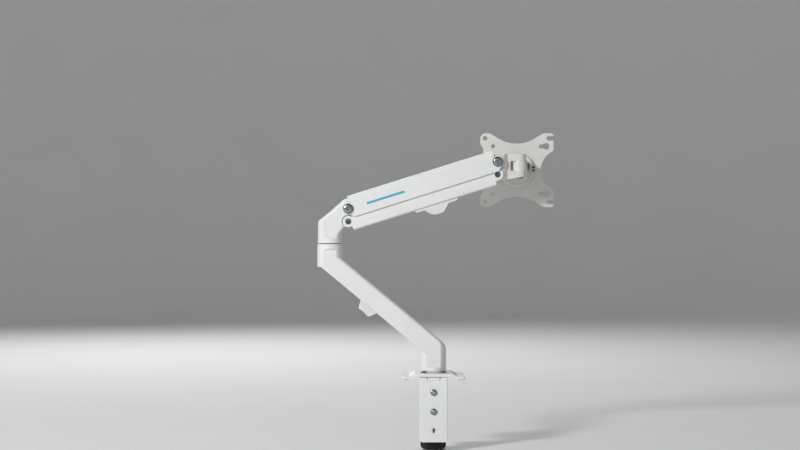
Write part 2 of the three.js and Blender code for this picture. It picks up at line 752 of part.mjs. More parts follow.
function linkCableClip() {
  const { from, to, halfY, wall, flangeT } = LINK_CLIP;
  const seat = LINK.bottom - GAP;
  const outer = rounded([
    [from, seat],
    [from + 2, seat - flangeT],
    [from + 14.5, seat - flangeT, 2],
    [from + 22, seat - 11.6, 4],
    [from + 30.5, seat - 15, 3],
    [from + 42, seat - 14.2, 4],
    [from + 53.5, seat - flangeT, 2],
    [to - 2, seat - flangeT],
    [to, seat],
  ]);
  const hollow = rounded([
    [from + 10, seat + 5],
    [from + 10, seat - flangeT - 0.8],
    [from + 17, seat - flangeT - 0.8],
    [from + 23.5, seat - 10.2, 3],
    [from + 31, seat - 12.8, 3],
    [from + 41, seat - 12, 3],
    [from + 50, seat - flangeT - 0.8],
    [from + 58, seat - flangeT - 0.8],
    [from + 58, seat + 5],
  ]);
  return cut(alongY(outer, -halfY, halfY), alongY(hollow, wall - halfY, halfY - wall));
}

// ---------------------------------------------------------------- gas spring, in its own frame

function springRod() {
  const { r, end, pistonR, pistonFrom, eyeR, eyeY } = ROD;
  const rod = barX(0, 0, r, 3, end, 12);
  const piston = barX(0, 0, pistonR, pistonFrom, end, 12);
  const eye = barY(0, 0, eyeR, -eyeY, eyeY, 14);
  return cut(join(rod, piston, eye), barY(0, 0, PIN.r + GAP, -30, 30, 12));
}

function springCylinder() {
  const { outer, inner, mouth, mouthR, end, neckR, eyeR, eyeY } = CYLINDER;
  const tube = cut(
    barX(0, 0, outer, mouth, end - 2),
    barX(0, 0, inner, mouth + 4, end - 8),
    barX(0, 0, mouthR, mouth - 1, mouth + 5),
  );
  const neck = barX(0, 0, neckR, end - 3, SPRING_LENGTH - 2, 12);
  const eye = barY(SPRING_LENGTH, 0, eyeR, -eyeY, eyeY, 14);
  return cut(join(tube, neck, eye), barY(SPRING_LENGTH, 0, AXLE.r + GAP, -30, 30, 12));
}

// ---------------------------------------------------------------- head, tilt and monitor plate

function headBracket() {
  const { left, step, top, earY, slotY, forkY, forkR } = HEAD;
  const end = PAN_X + forkR;
  const ear = alongY(
    rounded([
      [left, 302, 4],
      [step + 1, 304.4],
      [step + 1, top],
      [left + 1, top, 7],
    ]),
    -earY,
    earY,
  );
  const taper = earY + 1 - forkY;
  const earPlan = alongZ(
    [
      [left - 2, -forkY - taper],
      [step - taper, -forkY - taper],
      [step, -forkY],
      [step, forkY],
      [step - taper, forkY + taper],
      [left - 2, forkY + taper],
    ],
    290,
    360,
  );
  const forkSide = alongY(
    [
      [step - 4, 303.8],
      [end + 1, 309.3],
      [end + 1, top],
      [step - 4, top],
    ],
    -30,
    30,
  );
  const forkPlan = alongZ(
    [
      [step - 4, -forkY],
      ...arc(PAN_X, 0, forkR, -90, 90, 8),
      [step - 4, forkY],
    ],
    290,
    top,
  );
  const window = block(WINDOW.left, end + 5, -30, 30, WINDOW.bottom, WINDOW.top);
  const eyeSlot = block(left - 5, HEAD_X + 9, -slotY, slotY, 290, 360);
  const axleHole = barY(HEAD_X, HEAD_UPPER_Z, AXLE.r + GAP, -30, 30, 12);
  const pinHole = barY(HEAD_X, HEAD_LOWER_Z, PIN.r + GAP, -30, 30, 12);
  const panHole = barZ(PAN_X, 0, SWIVEL_PIN.r + GAP, 290, 360);
  const headRecess = barZ(PAN_X, 0, SWIVEL_PIN.headR + GAP + 0.1, 290, SWIVEL_PIN.headTop + GAP);
  return cut(
    join(ear.intersect(earPlan), forkSide.intersect(forkPlan)),
    window,
    eyeSlot,
    axleHole,
    pinHole,
    panHole,
    headRecess,
  );
}

function swivelPin() {
  const { r, headR, bottom, headTop } = SWIVEL_PIN;
  const pin = turned([
    [0, bottom],
    [headR - 1.4, bottom],
    [headR, bottom + 1],
    [headR, headTop],
    [r, headTop],
    [r, HEAD.top - 0.4],
    [0, HEAD.top - 0.4],
  ]);
  return cut(pin, barZ(0, 0, 3, bottom - 1, bottom + 2, 6)).translate([PAN_X, 0, 0]);
}

function swivelKnuckle() {
  const z0 = WINDOW.bottom + GAP;
  const z1 = WINDOW.top - GAP;
  const { r, halfX, tiltR } = KNUCKLE;
  const barrel = barZ(PAN_X, 0, r, z0, z1, 24);
  const neck = block(PAN_X - halfX, PAN_X + halfX, 0, TILT_Y, z0, z1);
  const eye = barX(TILT_Y, KNUCKLE_Z, tiltR, PAN_X - halfX, PAN_X + halfX, 24);
  const panHole = barZ(PAN_X, 0, SWIVEL_PIN.r + GAP, 290, 360);
  const tiltHole = barX(TILT_Y, KNUCKLE_Z, TILT_BOLT.r + GAP, 100, 170, 12);
  return cut(join(barrel, neck, eye), panHole, tiltHole);
}

function tiltYoke() {
  const { earIn, earOut, earR, plateFrom, plateTo, halfX, halfZ } = YOKE;
  const ear = [
    ...arc(TILT_Y, KNUCKLE_Z, earR, 90, 270, 8),
    [plateFrom + 2, ROTATION_Z - halfZ + 2],
    [plateFrom + 2, ROTATION_Z + halfZ - 1],
  ];
  const right = alongX(ear, PAN_X + earIn, PAN_X + earOut);
  const leftEar = alongX(ear, PAN_X - earOut, PAN_X - earIn);
  const footPlan = rectangle(PAN_X - halfX, PAN_X + halfX, ROTATION_Z - halfZ, ROTATION_Z + halfZ, 4);
  const foot = alongY(footPlan, plateFrom, plateTo);
  const screwHole = barY(PAN_X, ROTATION_Z, CENTRE_SCREW.r + GAP, 40, 70, 12);
  const tiltHole = barX(TILT_Y, KNUCKLE_Z, TILT_BOLT.r + GAP, 100, 170, 12);
  return cut(join(right, leftEar, foot), screwHole, tiltHole);
}

function tiltBolt() {
  const seat = YOKE.earOut + GAP;
  const { headR, headH, r, nutT } = TILT_BOLT;
  const screw = buttonScrew(headR, headH, r, 2 * seat + nutT - 0.6);
  return screw.rotate([0, 90, 0]).translate([PAN_X + seat, TILT_Y, KNUCKLE_Z]);
}

function tiltNut() {
  const end = PAN_X - YOKE.earOut - GAP;
  const { nutR, nutT, r } = TILT_BOLT;
  const nut = barX(TILT_Y, KNUCKLE_Z, nutR, end - nutT, end, 6);
  return cut(nut, barX(TILT_Y, KNUCKLE_Z, r + GAP, end - nutT - 1, end + 1, 16));
}

function rotationDisc() {
  const { r, from, to } = TURN_DISC;
  const rim = join(
    barY(PAN_X, ROTATION_Z, r, from + 1.4, to, 32),
    barY(PAN_X, ROTATION_Z, r - 1.6, from, to - 1, 32),
  );
  return cut(rim, barY(PAN_X, ROTATION_Z, CENTRE_SCREW.r + GAP, 40, 70, 12));
}

function rotationWasher() {
  const { r, from, to } = TURN_WASHER;
  const washer = barY(PAN_X, ROTATION_Z, r, from, to, 24);
  return cut(washer, barY(PAN_X, ROTATION_Z, CENTRE_SCREW.r + GAP, 40, 70, 12));
}

function rotationStop() {
  const { x, width, rise, halfZ, depth, groove, grooveAt, floor } = STOP;
  const x0 = PAN_X + x;
  const y1 = TURN_DISC.from - GAP;
  const zc = ROTATION_Z + rise;
  const body = block(x0, x0 + width, y1 - depth, y1, zc - halfZ, zc + halfZ);
  const grooves = [zc - grooveAt, zc + grooveAt].map((z) =>
    block(x0 + 0.8, x0 + width + 1, y1 - depth - 1, y1 - floor, z - groove / 2, z + groove / 2),
  );
  return cut(body, ...grooves);
}

function centreScrew() {
  const { headR, headT, r } = CENTRE_SCREW;
  const front = VESA.to - 0.2;
  const head = barY(PAN_X, ROTATION_Z, headR, front - headT, front, 24);
  const shank = barY(PAN_X, ROTATION_Z, r, YOKE.plateFrom + 0.5, front - 0.5, 20);
  return cut(join(head, shank), barY(PAN_X, ROTATION_Z, 2.2, front - 1, front + 1, 6));
}

// The plate has scalloped sides, round holes on the left, and keyholes and open slots on the right.
function vesaPlate() {
  const { from, to, half, halfX, holeR, outerR, keyR, slotHalfW } = VESA;
  const { topR, topZ, sideR, sideX } = SCALLOP;
  const lower = [
    [-halfX, 41, 7],
    [-52.8, 34.5, 5],
    [-52.8, -34.5, 5],
    [-halfX, -41, 7],
    [0.5 - halfX, -half, 8.5],
    [-42.5, -half, 10],
    ...arc(-0.5, -topZ - topR, topR, 125, 55, 8),
    [41.5, -half, 10],
    [halfX, -half, 4],
    [halfX, -30.3, 5],
    ...arc(sideX + sideR, 0, sideR, 238, 181, 8),
  ];
  const upper = lower.slice(4).map(([x, z, r]) => [x, -z, r]).reverse();
  const sheet = alongY(rounded([...lower, ...upper]), from, to);
  const holes = [-1, 1].flatMap((side) => [
    barY(-50, 50 * side, outerR, 60, 80, 14),
    barY(-37.5, 37.5 * side, holeR, 60, 80, 14),
    barY(37.5, 37.5 * side, holeR, 60, 80, 14),
    block(37.5, 46, 60, 80, 37.5 * side - holeR, 37.5 * side + holeR),
    barY(46, 37.5 * side, keyR, 60, 80, 14),
    barY(50, 50 * side, slotHalfW, 60, 80, 14),
    block(50, 70, 60, 80, 50 * side - slotHalfW, 50 * side + slotHalfW),
  ]);
  const centre = [
    barY(0, 0, CENTRE_SCREW.r + GAP, 60, 80, 14),
    barY(0, 0, CENTRE_SCREW.headR + 0.4, to - CENTRE_SCREW.headT - 0.5, 80, 20),
  ];
  return cut(sheet, ...holes, ...centre).translate([PAN_X, 0, ROTATION_Z]);
}

// ---------------------------------------------------------------- assembly

add("desk_pad_left", deskPad(-1), "rubber");
add("desk_pad_right", deskPad(1), "rubber");
add("desk_pad_centre", seatPad(), "rubber");
add("base_plate", basePlate(), "white");
add("clamp_back_bracket", clampBackBracket(), "white");
add("clamp_lower_jaw", clampLowerJaw(), "white");
add("clamp_bracket_screw_upper", clampBracketScrew(CLAMP_SCREW_Z[0]), "chrome");
add("clamp_bracket_screw_lower", clampBracketScrew(CLAMP_SCREW_Z[1]), "chrome");
add("clamp_weld_nut", weldNut(), "steel");
add("clamp_spindle", spindle(), "steel");
add("clamp_pressure_disc", pressureDisc(), "steel");
add("clamp_pressure_pad", pressurePad(), "rubber");
add("clamp_knob", clampKnob(), "black");
add("base_post", basePost(), "white");
flangeScrewPlaces().forEach((spot, i) => add(`flange_screw_${i + 1}`, deskScrew(spot), "darkSteel"));

add("post_bush", ring(0, 0, BUSH.inner, BUSH.outer, HUB_BOTTOM + GAP, POST.top), "nylon");
add("post_friction_screw", frictionScrew(0, 28), "darkSteel");
add("lower_arm", lowerArm(), "white");
add("lower_arm_cable_clip", lowerArmClip(), "white");
add(
  "elbow_bush",
  ring(ELBOW_X, 0, SPIGOT_R + GAP, BUSH.outer, ELBOW_HUB.bottom + 5.5, ELBOW_HUB.top - GAP),
  "nylon",
);
add("elbow_friction_screw", frictionScrew(ELBOW_X, 188), "darkSteel");
add("elbow_washer", ring(ELBOW_X, 0, SPIGOT_R + GAP, 17.2, SEAM_Z, SEAM_Z + SEAM_WASHER_T), "black");

add("elbow_bracket", elbowBracket(), "white");
add("elbow_spigot", elbowSpigot(), "steel");
add("tension_slider", tensionSlider(), "steel");
add("tension_screw", tensionScrew(), "darkSteel");
add("spring_anchor_pin", barY(ANCHOR.x, ANCHOR.z, PIN.r, -9, 9, 16), "steel");
add("elbow_upper_axle", pivotAxle(UPPER_PIVOT.x, UPPER_PIVOT.z), "chrome");
add("elbow_upper_nut", axleNut(UPPER_PIVOT.x, UPPER_PIVOT.z), "chrome");
add("elbow_pin_front", linkPin(UPPER_PIVOT.x, LOWER_PIVOT_Z, FORK_Y + GAP, POCKET_Y, -1), "darkSteel");
add("elbow_pin_back", linkPin(UPPER_PIVOT.x, LOWER_PIVOT_Z, FORK_Y + GAP, POCKET_Y, 1), "darkSteel");

add("upper_arm_cover", upperArmCover(), "white", liftFrame);
add("elbow_bush_front", pivotBush(0, -1), "black", liftFrame);
add("elbow_bush_back", pivotBush(0, 1), "black", liftFrame);
add("head_bush_front", pivotBush(ARM_LENGTH, -1), "black", liftFrame);
add("head_bush_back", pivotBush(ARM_LENGTH, 1), "black", liftFrame);
add("lower_link", lowerLink(), "white", linkFrame);
add("link_cable_clip", linkCableClip(), "white", linkFrame);
add("gas_spring_rod", springRod(), "chrome", springFrame);
add("gas_spring_cylinder", springCylinder(), "springBlack", springFrame);

add("head_bracket", headBracket(), "warmGrey");
add("head_upper_axle", pivotAxle(HEAD_X, HEAD_UPPER_Z), "chrome");
add("head_upper_nut", axleNut(HEAD_X, HEAD_UPPER_Z), "chrome");
add("head_pin_front", linkPin(HEAD_X, HEAD_LOWER_Z, HEAD.slotY + GAP, HEAD.earY, -1), "darkSteel");
add("head_pin_back", linkPin(HEAD_X, HEAD_LOWER_Z, HEAD.slotY + GAP, HEAD.earY, 1), "darkSteel");
add("swivel_pin", swivelPin(), "darkSteel");
add("swivel_knuckle", swivelKnuckle(), "warmGrey");
add("tilt_yoke", tiltYoke(), "warmGrey");
add("tilt_bolt", tiltBolt(), "darkSteel");
add("tilt_nut", tiltNut(), "darkSteel");
add("rotation_disc", rotationDisc(), "warmGrey");
add("rotation_washer", rotationWasher(), "black");
add("rotation_stop", rotationStop(), "warmGrey");
add("centre_screw", centreScrew(), "darkSteel");
add("vesa_plate", vesaPlate(), "warmGrey");

export default arm;
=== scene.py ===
"""Looks of a spring-assisted monitor arm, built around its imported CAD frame.

Shapes are modelled in millimetres in the row frame and turned into metres when a mesh is made.
Places come from the frame's joints and node boxes; the constants below are the shapes' own sizes.
"""

import json
import math

import bmesh
import bpy
from mathutils import Matrix, Vector


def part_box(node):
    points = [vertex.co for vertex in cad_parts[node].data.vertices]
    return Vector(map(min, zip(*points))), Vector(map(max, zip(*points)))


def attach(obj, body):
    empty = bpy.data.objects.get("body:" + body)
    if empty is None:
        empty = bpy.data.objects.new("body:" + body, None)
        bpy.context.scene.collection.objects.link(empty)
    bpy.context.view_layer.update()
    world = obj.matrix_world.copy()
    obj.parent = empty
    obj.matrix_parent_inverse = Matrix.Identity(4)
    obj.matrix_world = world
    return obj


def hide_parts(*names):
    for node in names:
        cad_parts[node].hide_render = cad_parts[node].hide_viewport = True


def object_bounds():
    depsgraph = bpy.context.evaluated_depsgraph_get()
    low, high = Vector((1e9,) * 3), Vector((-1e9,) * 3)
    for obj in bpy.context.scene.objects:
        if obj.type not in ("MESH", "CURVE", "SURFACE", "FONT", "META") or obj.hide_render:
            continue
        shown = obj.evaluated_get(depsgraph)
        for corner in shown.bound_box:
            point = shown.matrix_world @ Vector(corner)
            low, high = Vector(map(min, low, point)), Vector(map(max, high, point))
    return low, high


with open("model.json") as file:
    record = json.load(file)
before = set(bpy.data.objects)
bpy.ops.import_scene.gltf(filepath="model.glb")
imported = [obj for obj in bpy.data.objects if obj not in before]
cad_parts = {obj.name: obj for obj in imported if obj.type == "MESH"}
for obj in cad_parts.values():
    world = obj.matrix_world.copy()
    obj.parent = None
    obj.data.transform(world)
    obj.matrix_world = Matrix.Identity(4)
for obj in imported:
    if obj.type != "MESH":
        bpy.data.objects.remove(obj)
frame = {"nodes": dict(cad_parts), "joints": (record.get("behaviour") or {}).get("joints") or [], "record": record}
cad_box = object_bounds()

MM = 0.001
GAP = 0.3  # clearance between neighbouring pieces


def joint_place(name):
    joint = next(j for j in frame["joints"] if j["name"] == name)
    return Vector(joint["pos_m"]) / MM


def span(node):
    low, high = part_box(node)
    return low / MM, high / MM


# ---- places, from the frame

ELBOW = joint_place("elbow_swivel")
UPPER = joint_place("arm_lift")
LOWER = joint_place("link_swing")
ANCHOR = joint_place("spring_rod_swing")
HEAD_UPPER = joint_place("head_level")
PAN = joint_place("head_pan")
TILT = joint_place("head_tilt")
TURN = joint_place("plate_turn")
CLAMP = joint_place("clamp_knob_turn")
HEAD_LOWER = HEAD_UPPER - (UPPER - LOWER)
ARM = HEAD_UPPER - UPPER
ARM_LENGTH = ARM.length
LIFT = math.atan2(ARM.z, ARM.x)
SPRING = HEAD_UPPER - ANCHOR
SPRING_LENGTH = SPRING.length
SPRING_LIFT = math.atan2(SPRING.z, SPRING.x)

# ---- solids


def make_object(name, verts, faces):
    mesh = bpy.data.meshes.new(name)
    mesh.from_pydata([Vector(v) * MM for v in verts], [], faces)
    body = bmesh.new()
    body.from_mesh(mesh)
    bmesh.ops.remove_doubles(body, verts=body.verts, dist=1e-7)
    bmesh.ops.recalc_face_normals(body, faces=body.faces)
    body.to_mesh(mesh)
    body.free()
    obj = bpy.data.objects.new(name, mesh)
    bpy.context.scene.collection.objects.link(obj)
    return obj


def set_mesh(obj, mesh):
    old = obj.data
    obj.modifiers.clear()
    obj.data = mesh
    bpy.data.meshes.remove(old)


def apply_modifiers(obj):
    graph = bpy.context.evaluated_depsgraph_get()
    set_mesh(obj, bpy.data.meshes.new_from_object(obj.evaluated_get(graph)))
    return obj


def combine(base, others, operation):
    for other in others:
        modifier = base.modifiers.new(operation, "BOOLEAN")
        modifier.operation = operation
        modifier.solver = "MANIFOLD"
        modifier.object = other
    apply_modifiers(base)
    for other in others:
        bpy.data.objects.remove(other)
    return base


def join(base, *others):
    return combine(base, others, "UNION")


def cut(base, *others):
    return combine(base, others, "DIFFERENCE")


def common(base, *others):
    return combine(base, others, "INTERSECT")


def arc(x, y, radius, start, end, steps=24):
    """Points of an arc between two angles in degrees."""
    angles = [math.radians(start + (end - start) * k / steps) for k in range(steps + 1)]
    return [(x + radius * math.cos(a), y + radius * math.sin(a)) for a in angles]


def rounded(corners, step=7.5):
    """An outline whose corners (x, y, radius) are rounded by arcs, a point every few degrees."""
    points = []
    for i, corner in enumerate(corners):
        here = Vector(corner[:2])
        radius = corner[2] if len(corner) > 2 else 0
        if not radius:
            points.append(tuple(here))
            continue
        back = (Vector(corners[i - 1][:2]) - here).normalized()
        ahead = (Vector(corners[(i + 1) % len(corners)][:2]) - here).normalized()
        half = math.acos(max(-1, min(1, back.dot(ahead)))) / 2
        centre = here + (back + ahead).normalized() * (radius / math.sin(half))
        spoke = here + back * (radius / math.tan(half)) - centre
        side = math.copysign(1, ahead.x * back.y - ahead.y * back.x)
        turn = side * (math.pi - 2 * half)
        steps = max(2, math.ceil(math.degrees(abs(turn)) / step))
        for k in range(steps + 1):
            angle = turn * k / steps
            spun = Matrix.Rotation(angle, 2) @ spoke
            points.append(tuple(centre + spun))
    return points


def rectangle(x0, x1, y0, y1, radius=0):
    return rounded([(x0, y0, radius), (x1, y0, radius), (x1, y1, radius), (x0, y1, radius)])


def counter_clockwise(outline):
    area = sum(a[0] * b[1] - b[0] * a[1] for a, b in zip(outline, outline[1:] + outline[:1]))
    return outline if area > 0 else outline[::-1]


def inset(outline, distance):
    """The outline moved inwards, each corner along its own mitre."""
    moved = []
    for i, point in enumerate(outline):
        here = Vector(point)
        before = (here - Vector(outline[i - 1])).normalized()
        after = (Vector(outline[(i + 1) % len(outline)]) - here).normalized()
        n1, n2 = Vector((-before.y, before.x)), Vector((-after.y, after.x))
        moved.append(tuple(here + (n1 + n2) * (distance / max(1 + n1.dot(n2), 0.1))))
    return moved


AXES = {
    "x": lambda a, b, c: (c, a, b),
    "y": lambda a, b, c: (a, c, b),
    "z": lambda a, b, c: (a, b, c),
}


def prism(outline, low, high, axis="z", edge=0, steps=7):
    """A closed solid of an outline along an axis; its rims are rounded by edge."""
    points = counter_clockwise([p for i, p in enumerate(outline) if p != outline[i - 1]])
    levels = [(low, 0), (high, 0)]
    if edge:
        turns = [math.pi / 2 * k / steps for k in range(steps, -1, -1)]
        rim = [(edge * (1 - math.sin(a)), edge * (1 - math.cos(a))) for a in turns]
        levels = [(low + rise, pull) for rise, pull in rim]
        levels += [(high - rise, pull) for rise, pull in reversed(rim)]
    count = len(points)
    verts = []
    for level, pull in levels:
        ring = inset(points, pull) if pull else points
        verts += [AXES[axis](a, b, level) for a, b in ring]
    faces = [list(range(count))[::-1], [count * (len(levels) - 1) + i for i in range(count)]]
    for k in range(len(levels) - 1):
        for i in range(count):
            j = (i + 1) % count
            faces.append([count * k + i, count * k + j, count * (k + 1) + j, count * (k + 1) + i])
    return make_object("prism", verts, faces)


def both_sides(outline, low, high):
    return [prism(outline, low, high, "y"), prism(outline, -high, -low, "y")]


def block(x0, x1, y0, y1, z0, z1):
    return prism(rectangle(x0, x1, y0, y1), z0, z1)


def bar(axis, a, b, radius, low, high, sides=64):
    """A round bar along an axis; a and b are its centre in the outline's own directions."""
    return prism(arc(a, b, radius, 0, 360 - 360 / sides, sides - 1), low, high, axis)


def lathe(profile, axis="z", centre=(0, 0), sides=64):
    """A solid of revolution from (radius, height) pairs that start and end on the axis."""
    verts = []
    faces = []
    rings = []
    for radius, height in profile:
        if radius < 1e-6:
            rings.append([len(verts)] * sides)
            verts.append(AXES[axis](centre[0], centre[1], height))
            continue
        rings.append([len(verts) + i for i in range(sides)])
        for i in range(sides):
            angle = 2 * math.pi * i / sides
            a = centre[0] + radius * math.cos(angle)
            b = centre[1] + radius * math.sin(angle)
            verts.append(AXES[axis](a, b, height))
    for low, high in zip(rings, rings[1:]):
        for i in range(sides):
            j = (i + 1) % sides
            face = list(dict.fromkeys([low[i], low[j], high[j], high[i]]))
            if len(face) > 2:
                faces.append(face)
    return make_object("lathe", verts, faces)


def move(obj, x=0, y=0, z=0):
    obj.data.transform(Matrix.Translation(Vector((x, y, z)) * MM))
    return obj


def turn(obj, degrees, axis):
    obj.data.transform(Matrix.Rotation(math.radians(degrees), 4, axis))
    return obj


def mirror_y(obj):
    obj.data.transform(Matrix.Scale(-1, 4, (0, 1, 0)))
    obj.data.flip_normals()
    return obj


def into_arm_frame(obj, pivot, lift):
    """From an arm's own frame, along X from its pivot, into the row frame."""
    place = Matrix.Translation(pivot * MM) @ Matrix.Rotation(-lift, 4, "Y")
    obj.data.transform(place)
    return obj


# ---- finishing


def clean(obj):
    """Joins flat faces that a cut left split, so that a bevel sees only real edges."""
    body = bmesh.new()
    body.from_mesh(obj.data)
    bmesh.ops.remove_doubles(body, verts=body.verts, dist=2e-6)
    bmesh.ops.dissolve_limit(body, angle_limit=math.radians(0.5), verts=body.verts, edges=body.edges)
    body.to_mesh(obj.data)
    body.free()
    return obj


def shade(obj, angle=32):
    obj.data.shade_smooth()
    obj.data.set_sharp_from_angle(angle=math.radians(angle))
    modifier = obj.modifiers.new("normals", "WEIGHTED_NORMAL")
    modifier.keep_sharp = True
    return apply_modifiers(obj)


def soft_edges(obj, width, segments=3, angle=38):
    """Rounds every edge sharper than the angle, as bent and deburred sheet has."""
    clean(obj)
    modifier = obj.modifiers.new("edges", "BEVEL")
    modifier.width = width * MM
    modifier.segments = segments
    modifier.limit_method = "ANGLE"
    modifier.angle_limit = math.radians(angle)
    modifier.miter_outer = "MITER_ARC"
    apply_modifiers(obj)
    return shade(obj)


def cast(obj, voxel=0.8, rounds=4, keep=0.3):
    """Melts the edges and inner corners of a casting into small radii."""
    remesh = obj.modifiers.new("remesh", "REMESH")
    remesh.mode = "VOXEL"
    remesh.voxel_size = voxel * MM
    smooth = obj.modifiers.new("smooth", "SMOOTH")
    smooth.factor = 0.5
    smooth.iterations = rounds
    fewer = obj.modifiers.new("fewer", "DECIMATE")
    fewer.ratio = keep
    apply_modifiers(obj)
    obj.data.shade_smooth()
    return obj


def place(obj, name, body, slot, *nodes):
    """Names the piece, gives it its finish and puts it on its body in place of its CAD nodes."""
    obj.name = name
    obj.data.name = name
    obj.data.materials.clear()
    obj.data.materials.append(finish_of(slot))
    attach(obj, body)
    if nodes:
        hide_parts(*nodes)
    return obj


def refined(node, body, slot, width=0.4, angle=38):
    """A CAD node's own shape with rounded edges and smooth round faces."""
    obj = bpy.data.objects.new(node, frame["nodes"][node].data.copy())
    bpy.context.scene.collection.objects.link(obj)
    soft_edges(obj, width, 2, angle)
    return place(obj, f"{node}_fine", body, slot, node)


# ---- materials


class Shader:
    """A Principled material and short calls for the nodes that drive it."""

    def __init__(self, name, **values):
        self.material = bpy.data.materials.new(name)
        self.material.use_nodes = True
        self.tree = self.material.node_tree
        self.surface = self.tree.nodes["Principled BSDF"]
        self.place = self.node("ShaderNodeTexCoord").outputs["Object"]
        for key, value in values.items():
            self.surface.inputs[key.replace("_", " ")].default_value = value

    def node(self, kind, **settings):
        made = self.tree.nodes.new(kind)
        for key, value in settings.items():
            setattr(made, key, value)
        return made

    def link(self, source, target):
        self.tree.links.new(source, target)

    def drive(self, socket, source):
        self.link(source, self.surface.inputs[socket])

    def noise(self, scale, detail=4, roughness=0.5, stretch=(1, 1, 1)):
        mapping = self.node("ShaderNodeMapping")
        mapping.inputs["Scale"].default_value = stretch
        self.link(self.place, mapping.inputs["Vector"])
        noise = self.node("ShaderNodeTexNoise")
        noise.inputs["Scale"].default_value = scale
        noise.inputs["Detail"].default_value = detail
        noise.inputs["Roughness"].default_value = roughness
        self.link(mapping.outputs["Vector"], noise.inputs["Vector"])
        return noise.outputs["Fac"]

    def range(self, source, low, high, from_low=0.3, from_high=0.7):
        step = self.node("ShaderNodeMapRange")
        step.inputs["From Min"].default_value = from_low
        step.inputs["From Max"].default_value = from_high
        step.inputs["To Min"].default_value = low
        step.inputs["To Max"].default_value = high
        self.link(source, step.inputs["Value"])
        return step.outputs["Result"]

    def mix(self, factor, first, second, blend="MIX"):
        mix = self.node("ShaderNodeMix", data_type="RGBA", blend_type=blend)
        for key, value in ((6, first), (7, second)):
            if isinstance(value, tuple):
                mix.inputs[key].default_value = value
            else:
                self.link(value, mix.inputs[key])
        if isinstance(factor, float):
            mix.inputs[0].default_value = factor
        else:
            self.link(factor, mix.inputs[0])
        return mix.outputs[2]

    def worn_edges(self, radius=0.7):
        """1 on convex edges and 0 on flats, broken up by noise."""
        bevel = self.node("ShaderNodeBevel", samples=4)
        bevel.inputs["Radius"].default_value = radius * MM
        geometry = self.node("ShaderNodeNewGeometry")
        dot = self.node("ShaderNodeVectorMath", operation="DOT_PRODUCT")
        self.link(bevel.outputs["Normal"], dot.inputs[0])
        self.link(geometry.outputs["Normal"], dot.inputs[1])
        edge = self.range(dot.outputs["Value"], 1, 0, 0.82, 0.995)
        broken = self.range(self.noise(260, 5, 0.65), 0, 1, 0.42, 0.62)
        product = self.node("ShaderNodeMath", operation="MULTIPLY")
        self.link(edge, product.inputs[0])
        self.link(broken, product.inputs[1])
        return product.outputs[0]

    def bump(self, *layers):
        """Bump layers as (height, strength, distance in mm), coarsest first."""
        normal = None
        for height, strength, distance in layers:
            bump = self.node("ShaderNodeBump")
            bump.inputs["Strength"].default_value = strength
            bump.inputs["Distance"].default_value = distance * MM
            self.link(height, bump.inputs["Height"])
            if normal:
                self.link(normal, bump.inputs["Normal"])
            normal = bump.outputs["Normal"]
        self.drive("Normal", normal)


def tone(colour, factor):
    return tuple(min(1, c * factor) for c in colour) + (1,)


def powder_coat(name, colour, wear_colour, roughness=0.42):
    """Baked powder paint: orange peel, fine grain, faint handling marks, thinner on the edges."""
    s = Shader(name, IOR=1.5, Specular_IOR_Level=0.5, Coat_Weight=0.12, Coat_Roughness=0.3)
    cloud = s.noise(14, 3, 0.55)
    body = s.mix(s.range(cloud, 0, 1), tone(colour, 0.965), tone(colour, 1.02))
    grain = s.noise(2400, 2, 0.6)
    specked = s.mix(s.range(grain, 0, 0.10), body, tone(colour, 0.82))
    scuff = s.range(s.noise(90, 8, 0.72, (1, 1, 3)), 0, 0.14, 0.60, 0.72)
    scuffed = s.mix(scuff, specked, tone(colour, 0.80))
    s.drive("Base Color", s.mix(s.worn_edges(), scuffed, tone(wear_colour, 1)))
    s.drive("Roughness", s.range(s.noise(60, 5, 0.6), roughness - 0.06, roughness + 0.08))
    s.bump((s.noise(750, 2, 0.5), 0.22, 0.05), (grain, 0.20, 0.02))
    return s.material


def bare_metal(name, colour, roughness, streaks, stain):
    """Machined or plated metal: fine turning streaks, uneven polish and darker patches."""
    s = Shader(name, Metallic=1.0, IOR=2.2)
    patch = s.noise(160, 5, 0.62)
    s.drive("Base Color", s.mix(s.range(patch, 0, 0.5, 0.45, 0.75), tone(colour, 1), tone(stain, 1)))
    fine = s.noise(900, 6, 0.7, streaks)
    s.drive("Roughness", s.range(fine, roughness * 0.7, roughness * 1.5))
    s.bump((patch, 0.08, 0.05), (fine, 0.12, 0.02))
    return s.material


def plated_screw(name):
    """Chromed screw: the face turned towards -Y stays bright, and the crown around it is painted dark, a painted
    reflection of a dark room.
    """
    s = Shader(name, Metallic=1.0, IOR=2.2)
    facing = s.node("ShaderNodeVectorMath", operation="DOT_PRODUCT")
    s.link(s.node("ShaderNodeTexCoord").outputs["Normal"], facing.inputs[0])
    facing.inputs[1].default_value = (0, -1, 0)
    patch = s.noise(160, 5, 0.62)
    # painted reflection: these dark colours stand in for a dark room mirrored in the chrome crown
    crown = s.mix(s.range(patch, 0, 1), (0.13, 0.16, 0.19, 1), (0.20, 0.24, 0.28, 1))
    face = s.mix(s.range(patch, 0, 0.5), (0.66, 0.71, 0.75, 1), (0.42, 0.47, 0.52, 1))
    # painted reflection: faces turned away from -Y get the dark colours, faces towards -Y the bright chrome
    s.drive("Base Color", s.mix(s.range(facing.outputs["Value"], 0, 1, 0.90, 0.985), crown, face))
    fine = s.noise(900, 6, 0.7, (1, 6, 1))
    s.drive("Roughness", s.range(fine, 0.14, 0.28))
    s.bump((patch, 0.08, 0.05), (fine, 0.12, 0.02))
    return s.material


